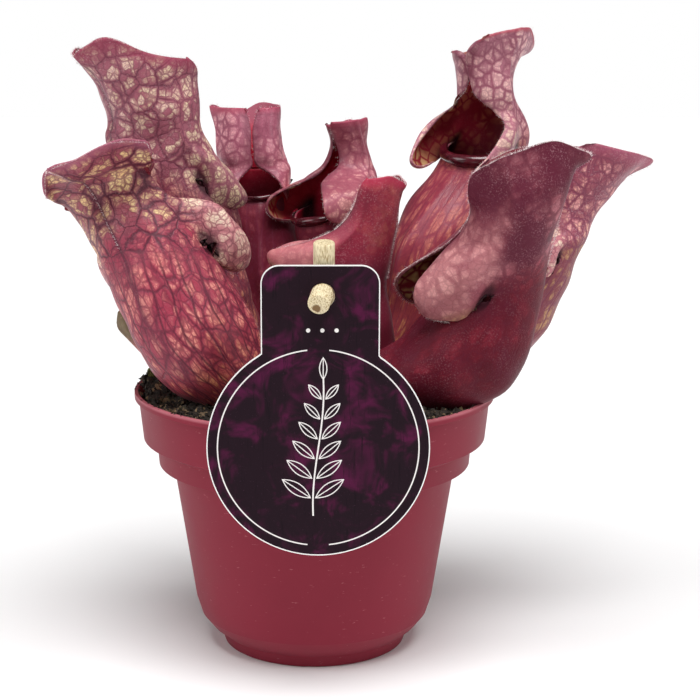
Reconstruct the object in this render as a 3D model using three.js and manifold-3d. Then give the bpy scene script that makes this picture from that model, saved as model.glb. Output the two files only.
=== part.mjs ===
// A pitcher plant in its plastic nursery pot, with a card label on a reed stake.
// Millimetres, +Z up. The origin is the middle of the pot's foot, the label faces -Y.
import * as THREE from 'three';
import { mergeVertices } from 'three/addons/utils/BufferGeometryUtils.js';
import Module from 'manifold-3d';

const wasm = await Module();
wasm.setup();

// ---------------------------------------------------------------- driving dimensions
const GAP = 0.35; // clearance between pieces that touch
const SOIL_GAP = 0.4; // clearance between the peat and the pot, up and across
const POT = {
  wall: 1.2, sides: 44, floor: 2.4, floorRadius: 29, floorCorner: 31,
  drains: 8, drainRing: 22, drainRadius: 3.2,
};
// radius and height along the outside of the pot, from the foot up to the lip
const POT_OUTSIDE = [
  [30.8, 0], [32.1, 3.9], [35.5, 6.6], [38.6, 10.5], [40.3, 16], [47.2, 60.8],
  [52.2, 62.6], [52.7, 69.1], [57.2, 71.4], [58.6, 84.8], [60, 85.2], [60, 87.4],
];
const SOIL = {
  bottom: POT.floor + 3.2, edgeHeight: 80.5, edgeRadius: 56.5, moundRadius: 40, crownRadius: 24,
  crownHeight: 83.5, sides: 32,
};
const CROWN = { x: 2, y: 8, radius: 15, foot: 8, shoulder: 9, bottom: 62, top: 85, bevel: 6, sides: 14 };
const MOSS = { x: -43, y: 14, radius: 9.5, squash: 0.8, height: 3.6, lift: 81.2 };
const PITCHER_WALL = 1.2;
const ROOT_HEIGHT = 80; // where the pitchers leave the crown
const ROOT_RADIUS = 4;
const HOLE_ANGLE = 88; // where the lip ends and the ear of the hood begins, degrees from the back
const EAR_ANGLE = 114; // where the ear is at its fullest
const EAR_TOP = 1.32; // how far up the hood the ear reaches
const EAR_SAG = 6; // how far the ear's lower edge droops
const HOLE_RISE = 3.2; // height of the opening behind the ear
const TIP_REACH = 4; // how far the midrib's pointed tip stands out
const RIM_ANGLES = [0, 18, 45, 80, 115, 150, 180]; // round the hood's top edge from the back
const RIM_WAVE = [-3, 0, 3, 0, -2, -3, -3];
const MIDRIB_DEPTH = [0.2, 0.8, 1.8]; // groove at the mouth, the neck and the top
const WING_LEVELS = [0, 0.2, 0.6, 0.9, 1];
const WING_DEPTH = [0, 2, 2.5, 1.2, 0.3]; // ridge down the tube's front
const HOOD_SQUARENESS = [0.85, 0.75, 0.75, 0.9, 0.95, 1];
const MODEL_MOUTH = 17.5; // half width of the mouth for which these sizes hold
const LABEL = {
  radius: 33.5, centreX: 1.2, centreZ: 82, tabHalf: 17.6, tabX: 0.6, top: 137.5, corner: 5.6, thickness: 0.6,
  back: -61.2, holeX: 2.4, holeZ: 128, holeRadius: 4.1, arcSteps: 44,
};
const STAKE = {
  radius: 3.2, x: 2.9, bottomY: -37.5, bottomZ: 50, topY: -57, topZ: 144.5,
  point: 7, tipRadius: 1.4, chamfer: 0.5, sides: 14,
};
const PEG = { radius: 3.5, length: 9.5, nose: 3, flat: 0.45, clear: 1.15, sides: 16 };
const STUB = {
  radius: 3, tipRadius: 3.6, from: [-42, 9, 76], to: [-66, 8, 112], bend: 1.3, rows: 10, sides: 10,
};

// Heights along a pitcher: 0 root, 1 mouth, 2 top of the hood.
const LEVELS = [0, 0.25, 0.62, 1, 1.5, 2];
const LEVEL_TILT = [-60, -42, -10, 12, 0, -2]; // how far each section's front dips, degrees
const HOOD_LEVELS = [1, 1.12, 1.3, 1.5, 1.75, 2];
const SIDE_MARGIN = [150, 152, 166, 174, 150, 92]; // how far the hood wraps round to the front
const OPEN_MARGIN = [128, 130, 142, 168, 165, 140];
const FRONT_MARGIN = [128, 138, 166, 176, 168, 100];

// Each pitcher: where it leaves the crown, the way its mouth faces (degrees from +X towards +Y),
// and at belly, mouth, neck and top how far its middle lies to the side, back and up from the root,
// with the half width and half depth there. Ear is how far the hood's lobe reaches forward and lobe how
// far it stands out sideways, flare how far the top spreads, dip how far the top's front drops and bank
// how far its left side drops (degrees).
const PITCHERS = {
  pitcher_right_front: {
    x: 14, y: -15, face: 176, lean: -6, roll: 3, twist: 0, ear: 10, lobe: 6, flare: 3, dip: 8, bank: 0,
    margin: SIDE_MARGIN,
    belly: [1, 32, 19, 19, 21], mouth: [3, 40, 43, 18, 20],
    neck: [3, 51, 68, 14, 14], top: [4, 52, 81, 16, 18],
  },
  pitcher_left_front: {
    x: -11, y: -11, face: 60, lean: -10, roll: 28, twist: 4, ear: 12, lobe: 11, flare: 3, dip: 0, bank: 0,
    margin: SIDE_MARGIN,
    belly: [16, 22, 24, 19, 21], mouth: [30, 22, 47, 18, 19],
    neck: [39, 25, 63, 14, 14], top: [44, 32, 80, 14, 12],
  },
  pitcher_right_back: {
    x: 18, y: 2, face: 190, lean: -4, roll: -7, twist: 0, ear: 8, lobe: 6, flare: 4, dip: 6, bank: 0,
    margin: SIDE_MARGIN,
    belly: [-12, 43, 27, 16, 19], mouth: [-15, 61, 49, 15, 18],
    neck: [-15, 68, 63, 13, 15], top: [-17, 79, 77, 15, 21],
  },
  pitcher_left_back: {
    x: -13, y: 24, face: 36, lean: -10, roll: 2, twist: 5, ear: 9, lobe: 7, flare: 4, dip: -8, bank: 14,
    margin: SIDE_MARGIN,
    belly: [22, 24, 38, 16, 18], mouth: [23, 26, 74, 16, 18],
    neck: [23, 34, 94, 13, 15], top: [23, 38, 115, 16, 18],
  },
  pitcher_tall_right: {
    x: 17, y: 27, face: -132, lean: -4, roll: 6, twist: 0, ear: 13, lobe: 7, flare: 2, dip: -6, bank: -24,
    margin: OPEN_MARGIN,
    belly: [6, 32, 44, 16, 18], mouth: [12, 47, 86, 18, 18],
    neck: [12, 51, 104, 11, 12], top: [14, 56, 119, 9, 12],
  },
  pitcher_back_left: {
    x: -7, y: 29, face: -86, lean: -9, roll: -3, twist: -2, ear: 4, lobe: 5, flare: 3, dip: 0, bank: 0,
    margin: FRONT_MARGIN,
    belly: [-11, 21, 38, 12, 14], mouth: [-13, 26, 72, 13, 13],
    neck: [-16, 29, 86, 11, 11], top: [-17, 31, 93, 11, 11],
  },
  pitcher_back_middle: {
    x: 5, y: 28, face: -138, lean: -3, roll: -3, twist: 0, ear: 7, lobe: 4, flare: 2, dip: -4, bank: 0,
    margin: OPEN_MARGIN,
    belly: [-6, 9, 30, 13, 14], mouth: [-7, 8, 61, 15, 15],
    neck: [-5, 13, 78, 8, 9], top: [-4, 13, 92, 7, 7],
  },
  pitcher_young_front: {
    x: 0, y: -1, face: 178, lean: -4, roll: -6, twist: 0, ear: 13, lobe: 6, flare: 2, dip: 4, bank: 0,
    margin: SIDE_MARGIN,
    belly: [-1, 13, 20, 11, 14], mouth: [-2, 12, 54, 12, 15],
    neck: [-4, 17, 66, 9, 8], top: [-4, 18, 73, 9, 8],
  },
};

// ---------------------------------------------------------------- small helpers
const rad = (degrees) => (degrees * Math.PI) / 180;

function ease(x, from, to) {
  const t = Math.min(Math.max((x - from) / (to - from), 0), 1);
  return t * t * (3 - 2 * t);
}

const bump = (x, centre, width) => Math.exp(-(((x - centre) / width) ** 2));

// a smooth curve through the values at the given knots
function through(knots, values, t) {
  const last = knots.length - 1;
  let i = 0;
  while (i < last - 1 && t >= knots[i + 1]) i += 1;
  const slope = (k) => {
    const a = Math.max(k - 1, 0);
    const b = Math.min(k + 1, last);
    return (values[b] - values[a]) / (knots[b] - knots[a]);
  };
  const h = knots[i + 1] - knots[i];
  const x = (t - knots[i]) / h;
  const fromHere = (2 * x ** 3 - 3 * x ** 2 + 1) * values[i] + (x ** 3 - 2 * x ** 2 + x) * h * slope(i);
  return fromHere + (3 * x ** 2 - 2 * x ** 3) * values[i + 1] + (x ** 3 - x ** 2) * h * slope(i + 1);
}

function material(color, roughness) {
  return new THREE.MeshStandardMaterial({ color, roughness, metalness: 0 });
}

function named(name, geometry, mat) {
  const mesh = new THREE.Mesh(geometry, mat);
  mesh.name = name;
  return mesh;
}

// a closed geometry as a solid that can be joined and cut
function toSolid(geometry) {
  const bare = geometry.clone();
  bare.deleteAttribute('normal');
  bare.deleteAttribute('uv');
  const merged = mergeVertices(bare, 1e-4);
  return new wasm.Manifold(new wasm.Mesh({
    numProp: 3,
    vertProperties: new Float32Array(merged.attributes.position.array),
    triVerts: new Uint32Array(merged.index.array),
  }));
}

function toGeometry(solid) {
  const mesh = solid.getMesh();
  const geometry = new THREE.BufferGeometry();
  geometry.setAttribute('position', new THREE.BufferAttribute(new Float32Array(mesh.vertProperties), 3));
  geometry.setIndex(new THREE.BufferAttribute(new Uint32Array(mesh.triVerts), 1));
  return geometry;
}

// the largest of a cut solid's separate bodies, without the crumbs
function largestBody(solid) {
  return solid.decompose().sort((a, b) => b.volume() - a.volume())[0];
}

// a turned piece with its axis along Z, from radius and height pairs
function turned(profile, sides) {
  const points = profile.map(([r, z]) => new THREE.Vector2(r, z));
  return new THREE.LatheGeometry(points, sides).rotateX(Math.PI / 2);
}

// ---------------------------------------------------------------- pitchers
// a point on the outside of a pitcher: t runs up it, angle goes round it from the back
function pitcherPoint(p, t, angle, onHood) {
  const steps = [p.belly, p.mouth, p.neck, p.top];
  const level = (k, root, foot) => through(LEVELS, [root, foot * p.belly[k], ...steps.map((s) => s[k])], t);
  const side = level(0, 0, 0.4);
  const back = level(1, 0, 0.45);
  const up = level(2, 0, 0.3);
  const halfWidth = level(3, ROOT_RADIUS, 0.56);
  const halfDepth = level(4, ROOT_RADIUS, 0.5);
  const size = p.mouth[3] / MODEL_MOUTH;
  const turn = Math.abs(angle);
  const forward = -Math.cos(turn);
  let s = halfWidth * Math.sin(turn);
  let f = halfDepth * forward;
  let u = 0;
  if (onHood) {
    const squareness = through(HOOD_LEVELS, HOOD_SQUARENESS, t);
    if (turn > Math.PI / 2) s = halfWidth * Math.max(Math.sin(turn), 1e-6) ** squareness;
    const onEar = ease(turn, rad(HOLE_ANGLE), rad(EAR_ANGLE));
    const swell = Math.sin(Math.PI * Math.min((t - 0.96) / (EAR_TOP - 0.96), 1));
    s += p.lobe * onEar * swell * size;
    f += p.ear * onEar * forward * bump(t, 1.08, 0.1);
    const sag = EAR_SAG * onEar * (1 - 0.5 * ease(turn, rad(130), rad(170)));
    const hole = HOLE_RISE * bump(turn, rad(HOLE_ANGLE + 12), rad(9));
    u += (hole - sag) * size * (1 - ease(t, 1, 1.22));
    const atTop = ease(t, 1.7, 2) * size;
    u += atTop * through(RIM_ANGLES.map(rad), RIM_WAVE, turn);
    f += p.flare * atTop * forward * (forward < 0 ? 1 : 0.3);
    s += 0.5 * p.flare * atTop * Math.sin(turn);
    f -= TIP_REACH * size * ease(t, 1.86, 2) * bump(turn, 0, rad(12));
    f += bump(turn, 0, rad(10)) * through([1, 1.5, 2], MIDRIB_DEPTH, t);
  } else {
    f += bump(turn, Math.PI, rad(9)) * through(WING_LEVELS, WING_DEPTH, t);
  }
  s *= Math.sign(angle) || 1;
  // section tilt, twist, lean and roll
  const turnBy = (a, b, degrees) => {
    const c = Math.cos(rad(degrees));
    const d = Math.sin(rad(degrees));
    return [a * c + b * d, b * c - a * d];
  };
  [f, u] = turnBy(f, u, through(LEVELS, LEVEL_TILT, t) + p.dip * ease(t, 1.4, 2));
  [s, u] = turnBy(s, u, p.bank * ease(t, 1.4, 2));
  [s, f] = turnBy(s, f, p.twist * ease(t, 1, 2));
  [f, u] = turnBy(f, u, -p.lean * ease(t, 0, 0.5));
  [s, u] = turnBy(s, u, p.roll * ease(t, 0, 0.5));
  const ahead = rad(p.face);
  const out = f - back;
  const across = s + side;
  return new THREE.Vector3(
    p.x + out * Math.cos(ahead) - across * Math.sin(ahead),
    p.y + out * Math.sin(ahead) + across * Math.cos(ahead),
    ROOT_HEIGHT + up + u,
  );
}

const TUBE_ROWS = [0, 0.12, 0.25, 0.4, 0.55, 0.7, 0.85, 0.95, 1];
const HOOD_ROWS = [1.05, 1.1, 1.18, 1.28, 1.4, 1.55, 1.7, 1.85, 2];
const BACK_COLUMNS = [-88, -70, -50, -30, -12, 0, 12, 30, 50, 70, 88];
const FRONT_COLUMNS = [103, 122, 148, 180, -148, -122, -103];
const EAR_STEPS = [0.2, 0.42, 0.7, 1]; // share of the way from the hole to the hood's edge

// the pitcher's outside as an open skin: the tube, closed at its root, with the hood growing from its back
function pitcherSkin(p) {
  const points = [];
  const faces = [];
  const add = (v) => points.push(v) - 1;
  const quad = (a, b, c, d) => faces.push([a, c, b], [a, d, c]);
  const columns = [...BACK_COLUMNS, ...FRONT_COLUMNS];
  const round = columns.length;
  const rows = TUBE_ROWS.map((t) => columns.map((a) => add(pitcherPoint(p, t, rad(a), false))));
  const middle = rows[0].reduce((sum, i) => sum.add(points[i]), new THREE.Vector3()).divideScalar(round);
  const pole = add(middle.add(new THREE.Vector3(0, 0, -0.8)));
  rows[0].forEach((a, j) => faces.push([pole, a, rows[0][(j + 1) % round]]));
  for (let i = 0; i + 1 < rows.length; i += 1) {
    for (let j = 0; j < round; j += 1) {
      const k = (j + 1) % round;
      quad(rows[i][j], rows[i][k], rows[i + 1][k], rows[i + 1][j]);
    }
  }
  // share of the hood's reach at which each column lies
  const edge = p.margin[0];
  const earAngles = EAR_STEPS.map((e) => HOLE_ANGLE + e * (edge - HOLE_ANGLE));
  const left = earAngles.map((a) => -a).reverse();
  const hoodColumns = [...left, ...BACK_COLUMNS, ...earAngles];
  const attachedFrom = left.length;
  const rim = rows[rows.length - 1];
  const firstRow = hoodColumns.map((a, j) => {
    const attached = j >= attachedFrom && j < attachedFrom + BACK_COLUMNS.length;
    return attached ? rim[j - attachedFrom] : add(pitcherPoint(p, 1, rad(a), true));
  });
  const hoodRows = [firstRow, ...HOOD_ROWS.map((t) => {
    const reach = through(HOOD_LEVELS, p.margin, t) / edge;
    return hoodColumns.map((a) => add(pitcherPoint(p, t, rad(a * reach), true)));
  })];
  for (let i = 0; i + 1 < hoodRows.length; i += 1) {
    for (let j = 0; j + 1 < hoodColumns.length; j += 1) {
      quad(hoodRows[i][j], hoodRows[i][j + 1], hoodRows[i + 1][j + 1], hoodRows[i + 1][j]);
    }
  }
  return { points, faces, rim };
}

function skinNormals({ points, faces }) {
  const normals = points.map(() => new THREE.Vector3());
  for (const [a, b, c] of faces) {
    const edge = new THREE.Vector3().subVectors(points[c], points[a]);
    const n = new THREE.Vector3().subVectors(points[b], points[a]).cross(edge);
    [a, b, c].forEach((i) => normals[i].add(n));
  }
  return normals.map((n) => n.normalize());
}

function fromFaces(points, faces) {
  const geometry = new THREE.BufferGeometry();
  geometry.setAttribute('position', new THREE.Float32BufferAttribute(points.flatMap((v) => v.toArray()), 3));
  geometry.setIndex(faces.flat());
  return geometry;
}

// the skin thickened inwards: outside, inside and a strip along every open edge
function pitcherGeometry(p) {
  const skin = pitcherSkin(p);
  const normals = skinNormals(skin);
  const count = skin.points.length;
  const inner = skin.points.map((v, i) => v.clone().addScaledVector(normals[i], -PITCHER_WALL));
  const faces = [];
  const open = new Map();
  for (const [a, b, c] of skin.faces) {
    faces.push([a, b, c], [a + count, c + count, b + count]);
    for (const [from, to] of [[a, b], [b, c], [c, a]]) {
      if (open.has(`${to} ${from}`)) open.delete(`${to} ${from}`);
      else open.set(`${from} ${to}`, [from, to]);
    }
  }
  for (const [from, to] of open.values()) {
    faces.push([to, from, from + count], [to, from + count, to + count]);
  }
  return fromFaces([...skin.points, ...inner], faces);
}

// the tube as a full solid, a little larger all round, for cutting its seat in what holds it
function pitcherSeatCutter(p) {
  const skin = pitcherSkin(p);
  const normals = skinNormals(skin);
  const last = Math.max(...skin.rim);
  const points = skin.points.slice(0, last + 2).map((v, i) => v.clone().addScaledVector(normals[i], GAP));
  const tubeCount = TUBE_ROWS.length * skin.rim.length;
  const faces = skin.faces.filter((f) => f.every((i) => i <= tubeCount));
  const middle = skin.rim.reduce((sum, i) => sum.add(points[i]), new THREE.Vector3());
  middle.divideScalar(skin.rim.length);
  const lid = points.push(middle) - 1;
  skin.rim.forEach((a, j) => faces.push([lid, skin.rim[(j + 1) % skin.rim.length], a]));
  return { points, faces };
}

const seatSolid = (p) => {
  const { points, faces } = pitcherSeatCutter(p);
  return toSolid(fromFaces(points, faces));
};

// ---------------------------------------------------------------- pot, soil, crown and moss
function potGeometry() {
  const inside = POT_OUTSIDE.map(([r, z]) => [r - POT.wall, z]).reverse();
  const insideAboveFloor = inside.filter(([, z]) => z > POT.floor + 0.5);
  const profile = [
    [0, 0], ...POT_OUTSIDE, ...insideAboveFloor,
    [POT.floorCorner, POT.floor + 0.4], [POT.floorRadius, POT.floor], [0, POT.floor],
  ];
  let pot = toSolid(turned(profile, POT.sides));
  for (let i = 0; i < POT.drains; i += 1) {
    const a = (i * 2 * Math.PI) / POT.drains;
    const drill = new THREE.CylinderGeometry(POT.drainRadius, POT.drainRadius, 4 * POT.floor, 12);
    drill.rotateX(Math.PI / 2);
    drill.translate(POT.drainRing * Math.cos(a), POT.drainRing * Math.sin(a), 0);
    pot = pot.subtract(toSolid(drill));
  }
  return toGeometry(pot);
}

function soilSolid() {
  const side = POT_OUTSIDE.map(([r, z]) => [r - POT.wall - SOIL_GAP, z + SOIL_GAP]);
  const inPot = side.filter(([, z]) => z > SOIL.bottom + 1 && z < SOIL.edgeHeight - 1);
  const profile = [
    [0, SOIL.bottom], [inPot[0][0] - 2, SOIL.bottom], ...inPot, [SOIL.edgeRadius, SOIL.edgeHeight],
    [SOIL.moundRadius, (SOIL.edgeHeight + SOIL.crownHeight) / 2],
    [SOIL.crownRadius, SOIL.crownHeight], [0, SOIL.crownHeight],
  ];
  return toSolid(turned(profile, SOIL.sides));
}

function crownSolid(grow) {
  const { radius, foot, shoulder, bottom, top, bevel, sides } = CROWN;
  const profile = [
    [0, bottom - grow], [foot + grow, bottom - grow], [radius + grow, bottom + bevel],
    [radius + grow, top - bevel], [shoulder + grow, top + grow], [0, top + grow],
  ];
  return toSolid(turned(profile, sides).translate(CROWN.x, CROWN.y, 0));
}

function mossSolid(grow) {
  const cushion = new THREE.SphereGeometry(1, 16, 8);
  cushion.scale(MOSS.radius + grow, MOSS.radius * MOSS.squash + grow, MOSS.height + grow);
  return toSolid(cushion.translate(MOSS.x, MOSS.y, MOSS.lift));
}

// ---------------------------------------------------------------- stub, label, stake and peg
class StubPath extends THREE.Curve {
  getPoint(t, target = new THREE.Vector3()) {
    const [x, y, z] = STUB.from.map((v, i) => v + (STUB.to[i] - v) * (i === 0 ? t ** STUB.bend : t));
    return target.set(x, y, z);
  }
}

// a dried leaf base: a bent tapering rod with a rounded end, full inside
function stubGeometry(grow) {
  const path = new StubPath();
  const { rows, sides } = STUB;
  const points = [];
  const faces = [];
  const frames = path.computeFrenetFrames(rows);
  for (let i = 0; i <= rows; i += 1) {
    const t = i / rows;
    const centre = path.getPointAt(t);
    const r = (STUB.radius + (STUB.tipRadius - STUB.radius) * t) * (i === rows ? 0.6 : 1) + grow;
    for (let j = 0; j < sides; j += 1) {
      const a = (j * 2 * Math.PI) / sides;
      const offset = frames.normals[i].clone().multiplyScalar(Math.cos(a) * r);
      points.push(offset.addScaledVector(frames.binormals[i], Math.sin(a) * r).add(centre));
    }
  }
  const start = points.push(path.getPointAt(0)) - 1;
  const end = points.push(path.getPointAt(1).add(frames.tangents[rows].clone().multiplyScalar(1 + grow))) - 1;
  for (let i = 0; i < rows; i += 1) {
    for (let j = 0; j < sides; j += 1) {
      const k = (j + 1) % sides;
      const [a, b, c, d] = [i * sides + j, i * sides + k, (i + 1) * sides + k, (i + 1) * sides + j];
      faces.push([a, b, c], [a, c, d]);
    }
  }
  for (let j = 0; j < sides; j += 1) {
    const k = (j + 1) % sides;
    faces.push([start, k, j], [end, rows * sides + j, rows * sides + k]);
  }
  return fromFaces(points, faces);
}

function labelGeometry() {
  const { radius, tabHalf, tabX, corner, arcSteps } = LABEL;
  const tabTop = LABEL.top - LABEL.centreZ;
  const join = Math.sqrt(radius ** 2 - tabHalf ** 2);
  const start = Math.atan2(join, tabX + tabHalf);
  const shape = new THREE.Shape();
  shape.moveTo(tabX + tabHalf, join);
  shape.lineTo(tabX + tabHalf, tabTop - corner);
  shape.absarc(tabX + tabHalf - corner, tabTop - corner, corner, 0, Math.PI / 2);
  shape.lineTo(tabX - tabHalf + corner, tabTop);
  shape.absarc(tabX - tabHalf + corner, tabTop - corner, corner, Math.PI / 2, Math.PI);
  shape.lineTo(tabX - tabHalf, join);
  const leftStart = Math.atan2(join, tabX - tabHalf);
  for (let i = 1; i < arcSteps; i += 1) {
    const a = leftStart + ((start + 2 * Math.PI - leftStart) * i) / arcSteps;
    shape.lineTo(radius * Math.cos(a), radius * Math.sin(a));
  }
  shape.closePath();
  const hole = new THREE.Path();
  const holeX = LABEL.holeX - LABEL.centreX;
  const holeZ = LABEL.holeZ - LABEL.centreZ;
  hole.absarc(holeX, holeZ, LABEL.holeRadius, 0, 2 * Math.PI, true);
  shape.holes.push(hole);
  const depth = LABEL.thickness;
  const card = new THREE.ExtrudeGeometry(shape, { depth, bevelEnabled: false, curveSegments: 10 });
  return card.rotateX(Math.PI / 2).translate(LABEL.centreX, LABEL.back, LABEL.centreZ);
}

const STAKE_LINE = new THREE.Vector3(0, STAKE.topY - STAKE.bottomY, STAKE.topZ - STAKE.bottomZ);

function stakeGeometry(grow) {
  const length = STAKE_LINE.length();
  const r = STAKE.radius + grow;
  const { point, tipRadius, chamfer, sides } = STAKE;
  const rod = turned([
    [0, -grow], [tipRadius + grow, -grow], [r, point],
    [r, length - chamfer], [r - chamfer, length], [0, length],
  ], sides);
  rod.rotateX(Math.atan2(-STAKE_LINE.y, STAKE_LINE.z));
  return rod.translate(STAKE.x, STAKE.bottomY, STAKE.bottomZ);
}

// the stake's middle line at a height
function stakeY(z) {
  return STAKE.bottomY + (STAKE_LINE.y * (z - STAKE.bottomZ)) / STAKE_LINE.z;
}

function pegGeometry() {
  const { radius, length, nose, flat, sides } = PEG;
  const profile = [[0, 0], [radius, 0], [radius, length - nose]];
  for (let i = 1; i <= 4; i += 1) {
    const a = (i * Math.PI) / 8;
    profile.push([radius * (flat + (1 - flat) * Math.cos(a)), length - nose + nose * Math.sin(a)]);
  }
  profile.push([0, length]);
  return turned(profile, sides).rotateX(Math.PI / 2);
}

// ---------------------------------------------------------------- assembly
const plant = new THREE.Group();

const potPlastic = material(0x8e3347, 0.5);
const peat = material(0x2a2119, 0.95);
const root = material(0x5c3a2a, 0.8);
const mossGreen = material(0x5a5a24, 0.95);
const leafRed = material(0x8a3a4c, 0.5);
const leafYoung = material(0x7c1f30, 0.55);
const dryLeaf = material(0x6a5230, 0.8);
const card = material(0x2a1424, 0.45);
const reed = material(0xd8c48e, 0.75);

plant.add(named('pot', potGeometry(), potPlastic));

const names = Object.keys(PITCHERS);
let soil = soilSolid();
let crown = crownSolid(0);
let moss = mossSolid(0).subtract(toSolid(stubGeometry(GAP)));
for (const name of names) {
  const cutter = seatSolid(PITCHERS[name]);
  soil = soil.subtract(cutter);
  crown = crown.subtract(cutter);
  moss = moss.subtract(cutter);
  const leafColour = name === 'pitcher_young_front' ? leafYoung : leafRed;
  plant.add(named(name, pitcherGeometry(PITCHERS[name]), leafColour));
}
soil = soil.subtract(crownSolid(GAP)).subtract(mossSolid(GAP));
soil = soil.subtract(toSolid(stakeGeometry(GAP))).subtract(toSolid(stubGeometry(GAP)));
plant.add(named('peat', toGeometry(largestBody(soil)), peat));
plant.add(named('rhizome', toGeometry(largestBody(crown)), root));
plant.add(named('moss', toGeometry(largestBody(moss)), mossGreen));
plant.add(named('old_leaf_stub', stubGeometry(0), dryLeaf));
plant.add(named('label_card', labelGeometry(), card));
plant.add(named('label_stake', stakeGeometry(0), reed));

const peg = named('label_peg', pegGeometry(), reed);
const pegRoot = stakeY(LABEL.holeZ) - STAKE.radius - PEG.clear;
peg.position.set(LABEL.holeX, pegRoot, LABEL.holeZ);
plant.add(peg);

export default plant;
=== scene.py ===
# A potted pitcher plant: hooded leaf tubes in a plastic nursery pot, with a card label on a reed stake.
import bpy
import bmesh
import math
import numpy as np
from mathutils import Matrix, Vector
from types import SimpleNamespace


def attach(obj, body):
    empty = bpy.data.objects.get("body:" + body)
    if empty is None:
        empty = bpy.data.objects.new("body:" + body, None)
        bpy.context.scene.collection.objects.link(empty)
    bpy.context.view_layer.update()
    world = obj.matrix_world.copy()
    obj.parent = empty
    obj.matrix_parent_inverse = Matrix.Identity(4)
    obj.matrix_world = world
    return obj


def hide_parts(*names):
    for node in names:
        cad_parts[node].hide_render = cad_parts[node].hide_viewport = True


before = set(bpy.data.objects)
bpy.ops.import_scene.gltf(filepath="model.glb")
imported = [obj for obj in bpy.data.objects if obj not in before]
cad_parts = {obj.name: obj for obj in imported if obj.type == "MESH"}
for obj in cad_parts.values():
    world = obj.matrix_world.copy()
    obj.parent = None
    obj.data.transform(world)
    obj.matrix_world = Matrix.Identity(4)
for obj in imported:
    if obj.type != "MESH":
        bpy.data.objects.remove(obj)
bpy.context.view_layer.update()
MM = 0.001
PER_METRE = 1000.0
# nearly a whole turn in radians, for waves and for the directions and phases drawn by chance
ANY_TURN = 6.283
ANY_PHASE = 6.28


def put_in_scene(obj):
    bpy.context.scene.collection.objects.link(obj)
    return obj


# ---------------------------------------------------------------- camera and light
EYE_HEIGHT = 208.2
EYE_DISTANCE = 540
LOOK_DOWN = 11.36
LENS = 84.76
SENSOR = 36
FRAME_SHIFT = 0.0511
NEAREST = 10
# the studio's white walls: as the camera sees them, and as they light the object
SEEN_WALLS = 1.0
LIT_WALLS = 0.09
LIGHT_SPREAD = 40
# each light: the direction it comes from, and its strength
LIGHTS = {
    "top_light": ((0.05, -0.35, 1.0), 2.9),
    "left_light": ((-1.0, -0.40, 0.55), 1.1),
    "right_light": ((1.0, -0.30, 0.50), 0.9),
}


def place_camera():
    cam = bpy.data.cameras.new("camera")
    cam.lens = LENS
    cam.sensor_width = SENSOR
    cam.shift_x = FRAME_SHIFT
    cam.clip_start = NEAREST * MM
    obj = put_in_scene(bpy.data.objects.new("camera", cam))
    obj.location = (0, -EYE_DISTANCE * MM, EYE_HEIGHT * MM)
    obj.rotation_euler = (math.radians(90 - LOOK_DOWN), 0, 0)
    bpy.context.scene.camera = obj


def light_studio():
    """Wide, even studio lights, the same over the whole floor, before white walls."""
    world = bpy.data.worlds.new("studio")
    bpy.context.scene.world = world
    world.use_nodes = True
    tree = world.node_tree
    seen = tree.nodes["Background"]
    lit = tree.nodes.new("ShaderNodeBackground")
    for walls, strength in ((seen, SEEN_WALLS), (lit, LIT_WALLS)):
        walls.inputs["Color"].default_value = (1, 1, 1, 1)
        walls.inputs["Strength"].default_value = strength
    rays = tree.nodes.new("ShaderNodeLightPath")
    both = tree.nodes.new("ShaderNodeMixShader")
    tree.links.new(rays.outputs["Is Camera Ray"], both.inputs["Fac"])
    tree.links.new(lit.outputs[0], both.inputs[1])
    tree.links.new(seen.outputs[0], both.inputs[2])
    tree.links.new(both.outputs[0], tree.nodes["World Output"].inputs["Surface"])
    for name, (from_where, strength) in LIGHTS.items():
        light = bpy.data.lights.new(name, "SUN")
        light.energy = strength
        light.angle = math.radians(LIGHT_SPREAD)
        obj = put_in_scene(bpy.data.objects.new(name, light))
        obj.location = from_where
        obj.rotation_mode = "QUATERNION"
        obj.rotation_quaternion = (-Vector(from_where)).to_track_quat("-Z", "Y")
    bpy.context.scene.view_settings.view_transform = "Standard"


# ---------------------------------------------------------------- shader helpers
CELL_UNEVENNESS = 0.85


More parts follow.
